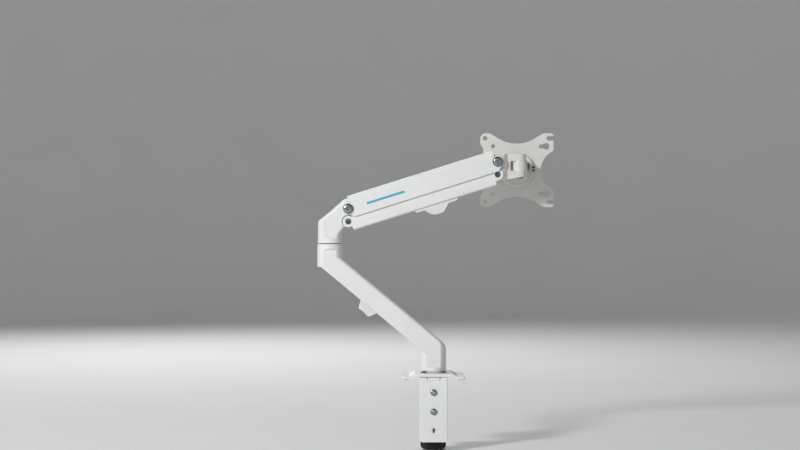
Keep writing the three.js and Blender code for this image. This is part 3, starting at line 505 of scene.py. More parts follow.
def moulded_plastic(name, colour, roughness, grain_scale=1300, grain=0.35):
    """Spark-eroded moulded plastic: pebbled grain, slight sheen changes, paler rubbed edges."""
    s = Shader(name, IOR=1.46, Specular_IOR_Level=0.45)
    pebble = s.noise(grain_scale, 3, 0.55)
    blotch = s.noise(35, 4, 0.5)
    body = s.mix(s.range(blotch, 0, 1), tone(colour, 0.93), tone(colour, 1.05))
    s.drive("Base Color", s.mix(s.worn_edges(0.5), body, tone(tuple(c * 1.25 + 0.015 for c in colour), 1)))
    s.drive("Roughness", s.range(blotch, roughness - 0.07, roughness + 0.07))
    s.bump((blotch, 0.05, 0.1), (pebble, grain, 0.04))
    return s.material


def pad_rubber(name):
    """Dull black rubber with dust in its pores."""
    s = Shader(name, IOR=1.5, Specular_IOR_Level=0.25)
    pores = s.noise(1800, 4, 0.7)
    dust = s.range(s.noise(45, 7, 0.65), 0, 0.35, 0.5, 0.75)
    s.drive("Base Color", s.mix(dust, (0.012, 0.012, 0.012, 1), (0.07, 0.068, 0.062, 1)))
    s.drive("Roughness", s.range(pores, 0.72, 0.92))
    s.bump((pores, 0.5, 0.06))
    return s.material


def black_enamel(name):
    """Glossy black stove enamel with a light orange peel."""
    s = Shader(name, IOR=1.5, Coat_Weight=0.6, Coat_Roughness=0.12)
    peel = s.noise(420, 2, 0.5)
    haze = s.noise(70, 6, 0.6)
    s.drive("Base Color", s.mix(s.range(haze, 0, 1), (0.010, 0.010, 0.012, 1), (0.022, 0.022, 0.024, 1)))
    s.drive("Roughness", s.range(haze, 0.22, 0.40))
    s.bump((peel, 0.15, 0.05))
    return s.material


def printed_blue():
    """Pad-printed ink with slightly uneven cover."""
    s = Shader("printed_blue", IOR=1.45)
    cover = s.noise(1500, 4, 0.6)
    s.drive("Base Color", s.mix(s.range(cover, 0, 1), (0.03, 0.36, 0.62, 1), (0.07, 0.44, 0.70, 1)))
    s.drive("Roughness", s.range(cover, 0.38, 0.52))
    s.bump((cover, 0.1, 0.02))
    return s.material


FINISHES = {
    "white_coat": (powder_coat, (0.80, 0.815, 0.81), (0.87, 0.88, 0.88)),
    # painted shade: a darker, warmer copy of the white paint for the head parts and the monitor plate, which are
    # white like the rest
    "warm_grey_coat": (powder_coat, (0.74, 0.73, 0.695), (0.82, 0.81, 0.78)),
    "white_plastic": (moulded_plastic, (0.74, 0.76, 0.76), 0.46),
    "black_plastic": (moulded_plastic, (0.006, 0.006, 0.007), 0.55),
    "nylon": (moulded_plastic, (0.78, 0.76, 0.68), 0.5, 900, 0.15),
    "chrome_screw": (plated_screw,),
    "chrome_rod": (bare_metal, (0.72, 0.74, 0.76), 0.10, (0.3, 4, 4), (0.5, 0.53, 0.56)),
    "dark_steel": (bare_metal, (0.17, 0.18, 0.19), 0.34, (1, 5, 1), (0.07, 0.075, 0.085)),
    "plain_steel": (bare_metal, (0.52, 0.53, 0.54), 0.28, (1, 1, 6), (0.34, 0.34, 0.34)),
    "black_coat": (black_enamel,),
    "pad_rubber": (pad_rubber,),
}
made_finishes = {}


def finish_of(slot):
    if slot not in made_finishes:
        maker, *values = FINISHES[slot]
        made_finishes[slot] = maker(slot, *values)
    return made_finishes[slot]


def paint_cad_nodes():
    """Every CAD node gets its slot's finish; those that a finer piece replaces stay hidden."""
    for entry in frame["record"]["subparts"]:
        node = frame["nodes"][entry["node"]]
        node.data.materials.clear()
        node.data.materials.append(finish_of(entry["material_slot"]))


# ---- base and clamp

PLATE = {"bend": 4, "rise_in": 28, "rise_out": 35, "corner": 3, "thick": 4.2}
BRACKET = {"thick": 3.7, "bend": 5, "corner": 5}
KEYHOLE = {"rise": 18.2, "r": 3, "slot_half": 1.7, "slot_drop": 4.5}
JAW = {"thick": 4.2, "corner": 5}
SCREW_HOLE = 3.1
CLAMP_SCREWS = [span(f"clamp_bracket_screw_{n}") for n in ("upper", "lower")]
FLANGE_SCREWS = [span(f"flange_screw_{i}") for i in range(1, 5)]
FLANGE_HOLE = 2.6


def middle(box):
    return (box[0] + box[1]) / 2


def flange_drills():
    places = [middle(box) for box in FLANGE_SCREWS]
    return [bar("z", p.x, p.y, FLANGE_HOLE, -20, 40, 32) for p in places]


def clamp_drills(front, thick):
    places = [middle(box) for box in CLAMP_SCREWS]
    return [bar("y", 0, p.z, SCREW_HOLE, front - 1, front + thick + 1, 48) for p in places]


def base_plate():
    low, high = span("base_plate")
    thick, bend = PLATE["thick"], PLATE["bend"]
    flat, raised = low.z, high.z - thick
    rise_in, rise_out, side = PLATE["rise_in"], PLATE["rise_out"], high.x
    under = [
        (-side, flat), (-rise_out, flat, bend + thick), (-rise_in, raised, bend),
        (rise_in, raised, bend), (rise_out, flat, bend + thick), (side, flat),
    ]
    over = [
        (side, flat + thick), (rise_out + 1, flat + thick, bend),
        (rise_in + 1, high.z, bend + thick), (-rise_in - 1, high.z, bend + thick),
        (-rise_out - 1, flat + thick, bend), (-side, flat + thick),
    ]
    sheet = prism(rounded(under + over), low.y - 5, high.y + 5, "y")
    plan = prism(rectangle(low.x, high.x, low.y, high.y, PLATE["corner"]), -20, 40)
    hole = bar("z", 0, 0, 8, -20, 40)
    obj = cut(common(sheet, plan), hole, *flange_drills())
    soft_edges(obj, 0.7)
    return place(obj, "base_plate_sheet", "base", "white_coat", "base_plate")


def bracket_slits(front):
    centre, half, bottom, depth = 9.75, 0.6, -3.5, 8
    return [
        block(x - half, x + half, front - 1, front + depth, bottom, 20) for x in (-centre, centre)
    ]


def clamp_back_bracket():
    low, high = span("clamp_back_bracket")
    thick, bend, corner = BRACKET["thick"], BRACKET["bend"], BRACKET["corner"]
    under = high.z - thick
    fold = rounded(
        [
            (low.y, low.z), (low.y + thick, low.z), (low.y + thick, under, bend - thick),
            (high.y, under), (high.y, high.z), (low.y, high.z, bend),
        ]
    )
    sheet = prism(fold, low.x, high.x, "x", 1.2, 4)
    front_view = prism(rectangle(low.x, high.x, low.z, 40, corner), low.y - 1, high.y + 1, "y")
    drills = clamp_drills(low.y, thick)
    key_z, slot_half = low.z + KEYHOLE["rise"], KEYHOLE["slot_half"]
    slot_low = key_z - KEYHOLE["slot_drop"]
    keyhole = [
        bar("y", 0, key_z, KEYHOLE["r"], low.y - 1, low.y + thick + 1, 48),
        block(-slot_half, slot_half, low.y - 1, low.y + thick + 1, slot_low, key_z),
    ]
    obj = cut(
        common(sheet, front_view), *bracket_slits(low.y), *drills, *keyhole, *flange_drills()
    )
    soft_edges(obj, 0.55)
    return place(obj, "clamp_back_bracket_sheet", "base", "white_coat", "clamp_back_bracket")


def clamp_lower_jaw():
    low, high = span("clamp_lower_jaw")
    thick, corner = JAW["thick"], JAW["corner"]
    fold = rounded(
        [
            (low.y, low.z, 5), (high.y, low.z), (high.y, low.z + thick),
            (low.y + thick, low.z + thick, 2), (low.y + thick, high.z), (low.y, high.z),
        ]
    )
    sheet = prism(fold, low.x, high.x, "x")
    plan = prism(rectangle(low.x, high.x, low.y - 10, high.y, corner), low.z - 1, high.z + 1)
    face = prism(rectangle(low.x, high.x, low.z - 10, high.z, corner), low.y - 1, high.y + 1, "y")
    drills = clamp_drills(low.y, thick)
    drills.append(bar("z", CLAMP.x, CLAMP.y, 5.3, low.z - 1, low.z + thick + 1, 48))
    obj = cut(common(sheet, plan, face), *drills)
    soft_edges(obj, 0.5)
    return place(obj, "clamp_lower_jaw_sheet", "base", "white_coat", "clamp_lower_jaw")


def desk_pads():
    for side in ("left", "right", "centre"):
        refined(f"desk_pad_{side}", "base", "pad_rubber", 0.25)


def threaded(radius, low, high, pitch=1.5, depth=0.75):
    """Profile of a screw thread between two heights, as stacked ridges."""
    turns = int((high - low) / pitch)
    points = []
    for k in range(turns):
        z = low + k * pitch
        points += [(radius - depth, z), (radius, z + pitch * 0.4), (radius, z + pitch * 0.55)]
    return points


def clamp_spindle():
    low, high = span("clamp_spindle")
    radius = (high.x - low.x) / 2
    profile = [(0, low.z), (radius - 1, low.z)]
    profile += threaded(radius, low.z + 1, high.z - 4)
    profile += [(radius - 1, high.z - 3.4), (radius - 2, high.z - 2.2), (radius - 2, high.z)]
    profile.append((0, high.z))
    obj = shade(lathe(profile, "z", (CLAMP.x, CLAMP.y), 48), 50)
    return place(obj, "clamp_spindle_thread", "clamp_screw", "plain_steel", "clamp_spindle")


def hexagon_nut(axis, a, b, across, low, high, bore):
    """A chamfered hexagon nut along an axis; across is its corner radius."""
    chamfer = across * 0.13
    rise = chamfer * 0.55
    body = bar(axis, a, b, across, low, high, 6)
    profile = [
        (0, low), (across - chamfer, low), (across + 0.1, low + rise), (across + 0.1, high - rise),
        (across - chamfer, high), (0, high),
    ]
    nut = common(body, lathe(profile, axis, (a, b), 72))
    return cut(nut, bar(axis, a, b, bore, low - 1, high + 1, 48))


def clamp_weld_nut():
    low, high = span("clamp_weld_nut")
    radius = max(high.x - low.x, high.y - low.y) / 2
    obj = hexagon_nut("z", CLAMP.x, CLAMP.y, radius, low.z, high.z, 5.3)
    soft_edges(obj, 0.25, 2)
    return place(obj, "clamp_weld_nut_fine", "base", "plain_steel", "clamp_weld_nut")


def clamp_pressure_disc():
    low, high = span("clamp_pressure_disc")
    radius = (high.x - low.x) / 2
    socket, socket_top = 5.2, low.z + 2.6
    profile = [(0, socket_top), (socket, socket_top), (socket, low.z + 0.3), (socket + 0.4, low.z)]
    profile += arc(radius - 1.2, low.z + 1.2, 1.2, -90, 0, 6)
    profile += arc(radius - 0.5, high.z - 0.5, 0.5, 0, 90, 3)
    profile.append((0, high.z))
    obj = shade(lathe(profile, "z", (CLAMP.x, CLAMP.y), 96), 40)
    return place(obj, "clamp_pressure_disc_fine", "clamp_pad", "plain_steel", "clamp_pressure_disc")


def clamp_pressure_pad():
    low, high = span("clamp_pressure_pad")
    radius = (high.x - low.x) / 2
    profile = [(0, low.z), (radius, low.z)]
    profile += arc(radius - 1, high.z - 1, 1, 0, 90, 6)
    for ring in (13, 9.5, 6):
        profile += [(ring + 0.7, high.z), (ring + 0.3, high.z - 0.6)]
        profile += [(ring - 0.3, high.z - 0.6), (ring - 0.7, high.z)]
    profile.append((0, high.z))
    obj = shade(lathe(profile, "z", (CLAMP.x, CLAMP.y), 96), 50)
    return place(obj, "clamp_pressure_pad_fine", "clamp_pad", "pad_rubber", "clamp_pressure_pad")


def clamp_knob():
    """A moulded hand knob whose skirt is scalloped for the fingers."""
    low, high = span("clamp_knob")
    radius, lobes, sides = 19.5, 8, 160
    lower_rim, upper_rim, bore, floor = 6.5, 2.5, 5.1, 5.5
    height = high.z - low.z
    profile = [(0, 0), (5, 0), (radius - 8, 0)]
    profile += arc(radius - lower_rim, lower_rim, lower_rim, -90, 0, 10)
    profile += arc(radius - upper_rim, height - upper_rim, upper_rim, 0, 90, 6)
    profile += [(radius - 9, height), (bore, height), (bore, floor), (0, floor)]
    verts = []
    for reach, z in profile:
        for i in range(sides):
            angle = 2 * math.pi * i / sides
            dip = max(0, math.cos(lobes * (angle - math.pi / lobes))) ** 2 * 1.9
            share = max(0, (reach - 9) / (radius - 9))
            r = max(reach - dip * share, 0)
            verts.append((CLAMP.x + r * math.cos(angle), CLAMP.y + r * math.sin(angle), low.z + z))
    faces = [
        [sides * k + i, sides * k + (i + 1) % sides, sides * (k + 1) + (i + 1) % sides, sides * (k + 1) + i]
        for k in range(len(profile) - 1)
        for i in range(sides)
    ]
    obj = shade(make_object("knob", verts, faces), 50)
    return place(obj, "clamp_knob_moulding", "clamp_screw", "black_plastic", "clamp_knob")


# ---- screws


def button_head(radius, height, shank, length):
    """A domed cap screw with a hexagon socket; its seat is at 0 and its head points along +Z."""
    crown = [(radius, 0.35), (radius, height * 0.22)]
    bend = 9
    for k in range(1, bend + 1):
        a = math.pi / 2 * k / bend
        crown.append((radius * (0.52 + 0.48 * math.cos(a)), height * (0.22 + 0.78 * math.sin(a))))
    profile = [(0, -length), (shank - 0.5, -length), (shank, -length + 0.6), (shank, 0)]
    profile += [(radius - 0.35, 0), *crown, (0, height)]
    head = lathe(profile, "z", (0, 0), 72)
    key = radius * 0.42
    socket = bar("z", 0, 0, key, height * 0.35, height + 1, 6)
    funnel = [(0, height - 0.5), (key * 0.86, height - 0.5), (key + 0.35, height + 0.1)]
    funnel += [(key + 0.35, height + 1), (0, height + 1)]
    mouth = lathe(funnel, "z", (0, 0), 48)
    return soft_edges(cut(head, socket, mouth), 0.12, 2, 50)


def head_sizes(node, axis):
    """Centre, head radius and seat of a screw, from its CAD node's box."""
    low, high = span(node)
    across = [i for i in range(3) if i != axis]
    return middle((low, high)), (high[across[0]] - low[across[0]]) / 2, low, high


def facing_screw(node, body, slot, height, shank, name):
    """A screw whose head faces -Y."""
    centre, radius, low, high = head_sizes(node, 1)
    length = high.y - low.y - height
    obj = turn(button_head(radius, height, shank, length), 90, "X")
    move(obj, centre.x, low.y + height, centre.z)
    return place(obj, name, body, slot, node)


def screws():
    for n in ("upper", "lower"):
        node = f"clamp_bracket_screw_{n}"
        facing_screw(node, "base", "chrome_screw", 3.2, 2.8, f"{node}_fine")
    facing_screw("elbow_upper_axle", "elbow", "chrome_screw", 3.7, 4, "elbow_upper_axle_fine")
    facing_screw("head_upper_axle", "head", "chrome_screw", 3.7, 4, "head_upper_axle_fine")
    for i in range(1, 5):
        node = f"flange_screw_{i}"
        centre, radius, low, high = head_sizes(node, 2)
        height = 2.4
        obj = button_head(radius, height, 2.3, high.z - low.z - height)
        move(obj, centre.x, centre.y, high.z - height)
        place(obj, f"{node}_fine", "base", "dark_steel", node)
    centre, radius, low, high = head_sizes("tilt_bolt", 0)
    obj = turn(button_head(radius, 3.4, 3.5, high.x - low.x - 3.4), 90, "Y")
    move(obj, high.x - 3.4, centre.y, centre.z)
    place(obj, "tilt_bolt_fine", "tilt_head", "dark_steel", "tilt_bolt")


def lock_nut(node, body, axis, slot):
    """A hexagon nut along Y or X."""
    low, high = span(node)
    centre = middle((low, high))
    index = "xyz".index(axis)
    others = {"x": (centre.y, centre.z), "y": (centre.x, centre.z)}[axis]
    across = max(high[i] - low[i] for i in range(3) if i != index) / 2
    obj = hexagon_nut(axis, *others, across, low[index], high[index], across * 0.6)
    soft_edges(obj, 0.15, 2)
    return place(obj, f"{node}_fine", body, slot, node)


def nuts():
    lock_nut("elbow_upper_nut", "elbow", "y", "chrome_screw")
    lock_nut("head_upper_nut", "head", "y", "chrome_screw")
    lock_nut("tilt_nut", "tilt_head", "x", "dark_steel")


def link_pin(node, body, head):
    """A flush pin with a hexagon socket, in one cheek of the lower link; head is its head's length."""
    low, high = span(node)
    centre = middle((low, high))
    back = centre.y > 0
    radius = (high.x - low.x) / 2
    inner, outer = (low.y, high.y) if back else (-high.y, -low.y)
    shoulder = outer - head
    profile = [(0, inner), (2.6, inner), (3, inner + 0.4), (3, shoulder), (radius - 0.3, shoulder)]
    profile += [(radius, shoulder + 0.3)] + arc(radius - 0.5, outer - 0.5, 0.5, 0, 90, 4)
    profile.append((0, outer))
    pin = lathe(profile, "y", (centre.x, centre.z), 64)
    socket = bar("y", centre.x, centre.z, 1.9, outer - 1.6, outer + 1, 6)
    obj = soft_edges(cut(pin, socket), 0.1, 2, 50)
    if not back:
        mirror_y(obj)
    return place(obj, f"{node}_fine", body, "dark_steel", node)


def pins():
    for body, head in (("elbow", 4.3), ("head", 2.3)):
        for side in ("front", "back"):
            link_pin(f"{body}_pin_{side}", body, head)
    for node, body in (("post_friction_screw", "lower_arm"), ("elbow_friction_screw", "lower_arm")):
        refined(node, body, "dark_steel", 0.2)


# ---- post and lower arm

POST_HUB_R = 20
ELBOW_HUB_R = 19.5
BUSH_BORE = 13.9
FLAT_Y = 16.6
BEAM = {"slope": -0.8273, "top": 66.9, "drop": 38.4, "edge": 5.5}
CHANNEL = {"half": 13, "roof": 7.8, "from": -141, "to": -26}


def base_post():
    low, high = span("base_post")
    collar, shaft, spigot, bore = 19, 10.5, 7.7, 6.5
    step = low.z + PLATE["thick"]
    profile = [(0, low.z), (spigot - 0.4, low.z), (spigot, low.z + 0.4), (spigot, step)]
    profile += [(collar - 0.3, step), (collar, step + 0.3)]
    profile += arc(collar - 0.4, step + 0.6, 0.4, 0, 90, 3)
    profile += [(shaft + 0.5, step + 1), (shaft, step + 1.5)]
    profile += arc(shaft - 1.5, high.z - 1.5, 1.5, 0, 90, 6)
    profile += [(bore + 0.4, high.z), (bore, high.z - 0.4), (bore, 22), (0, 22)]
    obj = shade(lathe(profile, "z", (0, 0), 96), 40)
    return place(obj, "base_post_turned", "base", "white_coat", "base_post")


def sloped(outline, low, high, edge=0):
    """A prism whose top and bottom slope down along +X, while its walls stay upright."""
    obj = prism(outline, low, high, "z", edge)
    for vertex in obj.data.vertices:
        vertex.co.z += BEAM["slope"] * vertex.co.x
    return obj


def beam_plan():
    post = math.degrees(math.asin(FLAT_Y / POST_HUB_R))
    elbow = math.degrees(math.asin(FLAT_Y / ELBOW_HUB_R))
    return arc(0, 0, POST_HUB_R, -post, post) + arc(ELBOW.x, 0, ELBOW_HUB_R, 180 - elbow, 180 + elbow)


def lower_arm():
    low, high = span("lower_arm")
    top = BEAM["top"]
    under = top - BEAM["drop"]
    far = 220
    hub_bottom = span("elbow_bush")[0].z - 5.5
    elbow_x = ELBOW.x
    beam = cut(
        sloped(beam_plan(), under - 10, top, BEAM["edge"]),
        sloped(rectangle(-far, 60, -40, 40), under - 60, under),
        block(-far, elbow_x + 60, -40, 40, high.z, 300),
    )
    elbow_hub = cut(
        bar("z", elbow_x, 0, ELBOW_HUB_R, hub_bottom, high.z, 128),
        *both_sides(rectangle(elbow_x - 11, elbow_x + 11, 120, 197.5, 5), FLAT_Y, 30),
    )
    post_hub = cut(
        bar("z", 0, 0, POST_HUB_R, low.z, 44, 128),
        *both_sides(rectangle(-11, 11, 17, 90, 4), FLAT_Y, 30),
    )
    plan = rectangle(CHANNEL["from"], CHANNEL["to"], -CHANNEL["half"], CHANNEL["half"], 3)
    obj = cut(
        join(beam, elbow_hub, post_hub),
        sloped(plan, under - 60, top - CHANNEL["roof"]),
        bar("z", 0, 0, BUSH_BORE, low.z - 1, span("base_post")[1].z + 1.5, 96),
        bar("z", elbow_x, 0, BUSH_BORE, hub_bottom + 5, high.z + 1, 96),
        bar("y", 0, 28, 3.3, 8, 40, 40),
        bar("y", elbow_x, 188, 3.3, 8, 40, 40),
    )
    cast(obj, 0.75, 3, 0.32)
    return place(obj, "lower_arm_casting", "lower_arm", "white_coat", "lower_arm")


def lower_arm_clip():
    """The cable clip that hooks up into the lower arm's channel."""
    start, half, wall = -110.9, 15, 2.2
    outer = [(0, -GAP), (5.2, -12.1, 2), (17.3, -11, 2), (18.5, -12.6, 1), (25.6, -12.2, 2), (31.7, -GAP)]
    shell = cut(
        prism(rounded(outer), -half, half, "y"),
        block(-20, 50, wall - half, half - wall, -10.2, 20),
    )
    grip = CHANNEL["half"]
    tabs = both_sides(rectangle(9, 23, -3, 6, 1), grip - 2.4, grip - GAP)
    feet = both_sides(rectangle(9, 23, -3, -GAP), grip - 2.4, half - 0.2)
    obj = soft_edges(join(shell, *tabs, *feet), 0.6)
    turn(obj, math.degrees(math.atan(-BEAM["slope"])), "Y")
    move(obj, start, 0, BEAM["top"] - BEAM["drop"] + BEAM["slope"] * start)
    return place(obj, "lower_arm_clip", "lower_arm", "white_plastic", "lower_arm_cable_clip")


# ---- elbow bracket

BRACKET_HUB_R = 18.7
BRACKET_FLAT_Y = 15.3
POCKET_Y = 13.2
FORK_Y = 11
AXLE_HOLE = 4.3
PIN_HOLE = 3.3


def elbow_bracket():
    low = span("elbow_bracket")[0]
    x, z = UPPER.x, UPPER.z
    left, floor = ELBOW.x - BRACKET_HUB_R + 0.4, low.z
    tension_x = middle(span("tension_screw")).x
    outline = rounded([(-148.4, floor + 4), (-147.2, 215), (-142.6, 223.5, 14), (-136.2, 231)])
    outline += arc(x, LOWER.z, 9.3, -120, 0)
    outline += arc(x, z, 15.2, 52, 130)
    outline += rounded([(-157.7, 255.5), (left, 240.4, 6), (left, floor + 4)])
    flat_angle = math.degrees(math.asin(BRACKET_FLAT_Y / BRACKET_HUB_R))
    plan = arc(ELBOW.x, 0, BRACKET_HUB_R, 180 - flat_angle, 180 + flat_angle, 40)
    plan += [(-100, -BRACKET_FLAT_Y), (-100, BRACKET_FLAT_Y)]
    body = common(
        prism(outline, -BRACKET_FLAT_Y, BRACKET_FLAT_Y, "y", 5),
        prism(plan, floor - 1, 300),
    )
    hub = cut(
        bar("z", ELBOW.x, 0, BRACKET_HUB_R - 0.05, floor, 229, 128),
        *both_sides(rectangle(ELBOW.x - 12, ELBOW.x + 12, 215, 260, 4), BRACKET_FLAT_Y - 0.1, 30),
    )
    fork = [(-153, 228), (-134, 228), (-100, 225), (-100, 300), (-120, 300), (-133, 268), (-139, 263.5)]
    fork.append((-153, 252))
    obj = cut(
        join(body, hub),
        *both_sides(arc(x, LOWER.z, 9.9, 0, 354, 59), POCKET_Y, 30),
        prism(rounded([(*p, 2) for p in fork]), -FORK_Y, FORK_Y, "y"),
        bar("z", ELBOW.x, 0, 9.8, floor - 1, 226),
        bar("y", x, z, AXLE_HOLE, -30, 30, 48),
        bar("y", x, LOWER.z, PIN_HOLE, -30, 30, 48),
        bar("z", tension_x, 0, 3.7, 227.6, 240, 48),
        bar("z", tension_x, 0, 4.5, 240, 290, 48),
    )
    cast(obj, 0.6, 3, 0.35)
    return place(obj, "elbow_bracket_casting", "elbow", "white_coat", "elbow_bracket")


def elbow_inner_parts():
    refined("tension_slider", "elbow", "plain_steel", 0.4)
    refined("tension_screw", "elbow", "dark_steel", 0.2)
    refined("elbow_spigot", "elbow", "plain_steel", 0.3)
    refined("spring_anchor_pin", "elbow", "plain_steel", 0.3)


# ---- upper arm

COVER = {"outer": 20.8, "inner": 18.5, "top": 18.5, "bottom": -14.2, "edge": 7, "nose": 8.6, "head": 9.2}
LINK = {"outer": 17.9, "inner": 15.6, "top": 5.5, "bottom": -15.1, "wall": 2.2, "edge": 3, "nose": 8.6}


def channel(outer, inner, top, wall, edge):
    """A folded channel with its web on top, open below, longer than the arm."""
    low = -60
    inner_edge = max(edge - wall, 0.8)
    shell = rounded([(-outer, low), (outer, low), (outer, top, edge), (-outer, top, edge)])
    core = rounded(
        [
            (-inner, low - 1), (inner, low - 1), (inner, top - wall, inner_edge),
            (-inner, top - wall, inner_edge),
        ]
    )
    return cut(
        prism(shell, -30, ARM_LENGTH + 30, "x"), prism(core, -31, ARM_LENGTH + 31, "x")
    )


def upper_arm_cover():
    top, bottom, end = COVER["top"], COVER["bottom"], ARM_LENGTH
    outline = arc(0, 0, COVER["nose"], 68, 262)
    outline += [(2.6, -11.6), (5.6, bottom), (end - 3.7, bottom)]
    outline += arc(end, 0, COVER["head"], -40, 112)
    outline += [(end - 4, top), (3.2, top)]
    walls = channel(COVER["outer"], COVER["inner"], top, COVER["outer"] - COVER["inner"], COVER["edge"])
    side = prism(outline, -30, 30, "y")
    holes = [bar("y", s, 0, 6.3, -30, 30) for s in (0, end)]
    obj = soft_edges(cut(common(walls, side), *holes), 0.5)
    into_arm_frame(obj, UPPER, LIFT)
    return place(obj, "upper_arm_cover_shell", "upper_arm", "white_coat", "upper_arm_cover")


def cover_print():
    """A plain blue bar printed on the cover's front face."""
    s0, s1, height, half = 29, 90, -0.8, 1.7
    face = -COVER["outer"]
    obj = prism(rectangle(s0, s1, height - half, height + half, half), face - 0.06, face + 0.02, "y")
    into_arm_frame(obj, UPPER, LIFT)
    shade(obj)
    obj.name = "cover_print"
    obj.data.materials.append(printed_blue())
    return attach(obj, "upper_arm")


def lower_link():
    top, bottom, end = LINK["top"], LINK["bottom"], ARM_LENGTH
    outline = arc(0, 0, LINK["nose"], 40, 285)
    outline += [(3.1, -9), (4.6, bottom), (end - 6.9, bottom), (end - 5.4, -9)]
    outline += arc(end, 0, LINK["nose"], -105, 140)
    outline += [(end - 8.2, top), (8.2, top)]
    walls = turn(channel(LINK["outer"], LINK["inner"], -bottom, LINK["wall"], LINK["edge"]), 180, "X")
    side = prism(outline, -30, 30, "y")
    holes = [bar("y", s, 0, 4.7, -30, 30) for s in (0, end)]
    obj = soft_edges(cut(common(walls, side), *holes), 0.45)
    into_arm_frame(obj, LOWER, LIFT)
    return place(obj, "lower_link_channel", "link", "white_coat", "lower_link")


def link_cable_clip():
    start, end, half, wall, flange = 102, 171, 15, 2.2, 3.2
    seat = LINK["bottom"] - GAP
    outer = rounded(
        [
            (start, seat), (start + 2, seat - flange, 1), (start + 14.5, seat - flange, 2),
            (start + 22, seat - 11.6, 4), (start + 30.5, seat - 15, 3),
            (start + 42, seat - 14.2, 4), (start + 53.5, seat - flange, 2),
            (end - 2, seat - flange, 1), (end, seat),
        ]
    )
    hollow = rounded(
        [
            (start + 10, seat + 5), (start + 10, seat - flange - 0.8),
            (start + 17, seat - flange - 0.8), (start + 23.5, seat - 10.2, 3),
            (start + 31, seat - 12.8, 3), (start + 41, seat - 12, 3),
            (start + 50, seat - flange - 0.8), (start + 58, seat - flange - 0.8),
            (start + 58, seat + 5),
        ]
    )
    obj = cut(prism(outer, -half, half, "y"), prism(hollow, wall - half, half - wall, "y"))
    soft_edges(obj, 0.7)
    into_arm_frame(obj, LOWER, LIFT)
    return place(obj, "link_clip", "link", "white_plastic", "link_cable_clip")


def pivot_bush(node, pivot, side):
    """A flanged bush in one cheek of the cover."""
    inner, flange, sleeve, bore = BRACKET_FLAT_Y + GAP, COVER["inner"] - GAP, COVER["outer"], AXLE_HOLE
    profile = [(bore, inner + 0.3), (bore + 0.3, inner), (7.2, inner), (7.5, inner + 0.3)]
    profile += [(7.5, flange), (6, flange), (6, sleeve - 0.3), (5.7, sleeve)]
    profile += [(bore + 0.3, sleeve), (bore, sleeve - 0.3), (bore, inner + 0.3)]
    obj = lathe(profile, "y", (pivot.x, pivot.z), 64)
    if side == "front":
        mirror_y(obj)
    shade(obj, 40)
    return place(obj, f"{node}_fine", "upper_arm", "black_plastic", node)


def pivot_bushes():
    for end, pivot in (("elbow", UPPER), ("head", HEAD_UPPER)):
        for side in ("front", "back"):
            pivot_bush(f"{end}_bush_{side}", pivot, side)


# ---- gas spring

ROD = {"r": 4, "end": 118, "piston_r": 5.8, "piston": 108, "eye_r": 6.5, "eye_y": 4}
TUBE = {"outer": 11, "inner": 9, "mouth": 62, "mouth_r": 7.2, "end": 222, "neck": 5}
TUBE_EYE = {"r": 6.8, "y": 4.5}


def spring_eye(s, radius, half, bore):
    rim = 0.8
    profile = [(bore, rim - half), (bore + rim, -half), (radius - rim, -half), (radius, rim - half)]
    profile += [(radius, half - rim), (radius - rim, half), (bore + rim, half), (bore, half - rim)]
    profile.append(profile[0])
    return lathe(profile, "y", (s, 0), 64)


def gas_spring_rod():
    rod = lathe(
        [
            (0, ROD["eye_r"] - 1.6), (ROD["r"], ROD["eye_r"] - 1.6), (ROD["r"], ROD["piston"]),
            (ROD["piston_r"] - 0.4, ROD["piston"]), (ROD["piston_r"], ROD["piston"] + 0.4),
            (ROD["piston_r"], ROD["end"] - 0.4), (ROD["piston_r"] - 0.4, ROD["end"]),
            (0, ROD["end"]),
        ],
        "x",
    )
    obj = join(rod, spring_eye(0, ROD["eye_r"], ROD["eye_y"], PIN_HOLE))
    into_arm_frame(obj, ANCHOR, SPRING_LIFT)
    shade(clean(obj), 40)
    return place(obj, "gas_spring_rod_turned", "spring_rod", "chrome_rod", "gas_spring_rod")


def gas_spring_cylinder():
    """A drawn tube with a rolled mouth, a swaged end and a screwed-on eye."""
    outer, inner, mouth, end = TUBE["outer"], TUBE["inner"], TUBE["mouth"], TUBE["end"]
    profile = [(TUBE["mouth_r"], mouth + 0.3), (TUBE["mouth_r"] + 0.3, mouth)]
    profile += arc(outer - 2, mouth + 2, 2, -90, 0, 6)
    for groove in (9, 14):
        profile += [(outer, mouth + groove - 1), (outer - 0.6, mouth + groove - 0.3)]
        profile += [(outer - 0.6, mouth + groove + 0.3), (outer, mouth + groove + 1)]
    profile += [(outer, end - 5)] + arc(outer - 3, end - 5, 3, 0, 90, 6)
    profile += [(TUBE["neck"], end - 2), (TUBE["neck"], SPRING_LENGTH - 4), (0, SPRING_LENGTH - 4)]
    profile += [(0, end - 8), (inner, end - 8), (inner, mouth + 4), (TUBE["mouth_r"], mouth + 4)]
    profile.append(profile[0])
    tube = lathe(profile, "x")
    eye = spring_eye(SPRING_LENGTH, TUBE_EYE["r"], TUBE_EYE["y"], AXLE_HOLE)
    obj = join(tube, eye)
    into_arm_frame(obj, ANCHOR, SPRING_LIFT)
    shade(clean(obj), 40)
    return place(obj, "gas_spring_tube", "upper_arm", "black_coat", "gas_spring_cylinder")


# ---- head, tilt and plate

# the head parts and the plate take warm_grey_coat, the white paint darkened as painted shade
HEAD = {"slot": 6, "fork_y": 10, "fork_r": 10, "step": 113.9}
WINDOW = {"left": 118.7, "bottom": 318, "top": 332.8}
KNUCKLE = {"r": 11, "half": 8.6, "tilt_r": 9}
YOKE = {"ear_in": 8.9, "ear_out": 14, "ear_r": 11, "half_x": 17, "half_z": 15}
VESA = {"inner": 37.5, "outer": 50, "hole": 3.3, "outer_hole": 3.7}
VESA_SLOT = {"key": 5.2, "key_x": 46, "half": 3.5}
SCALLOP = {"top_r": 54, "top_z": 41.6, "side_r": 33, "side_x": 37.6}


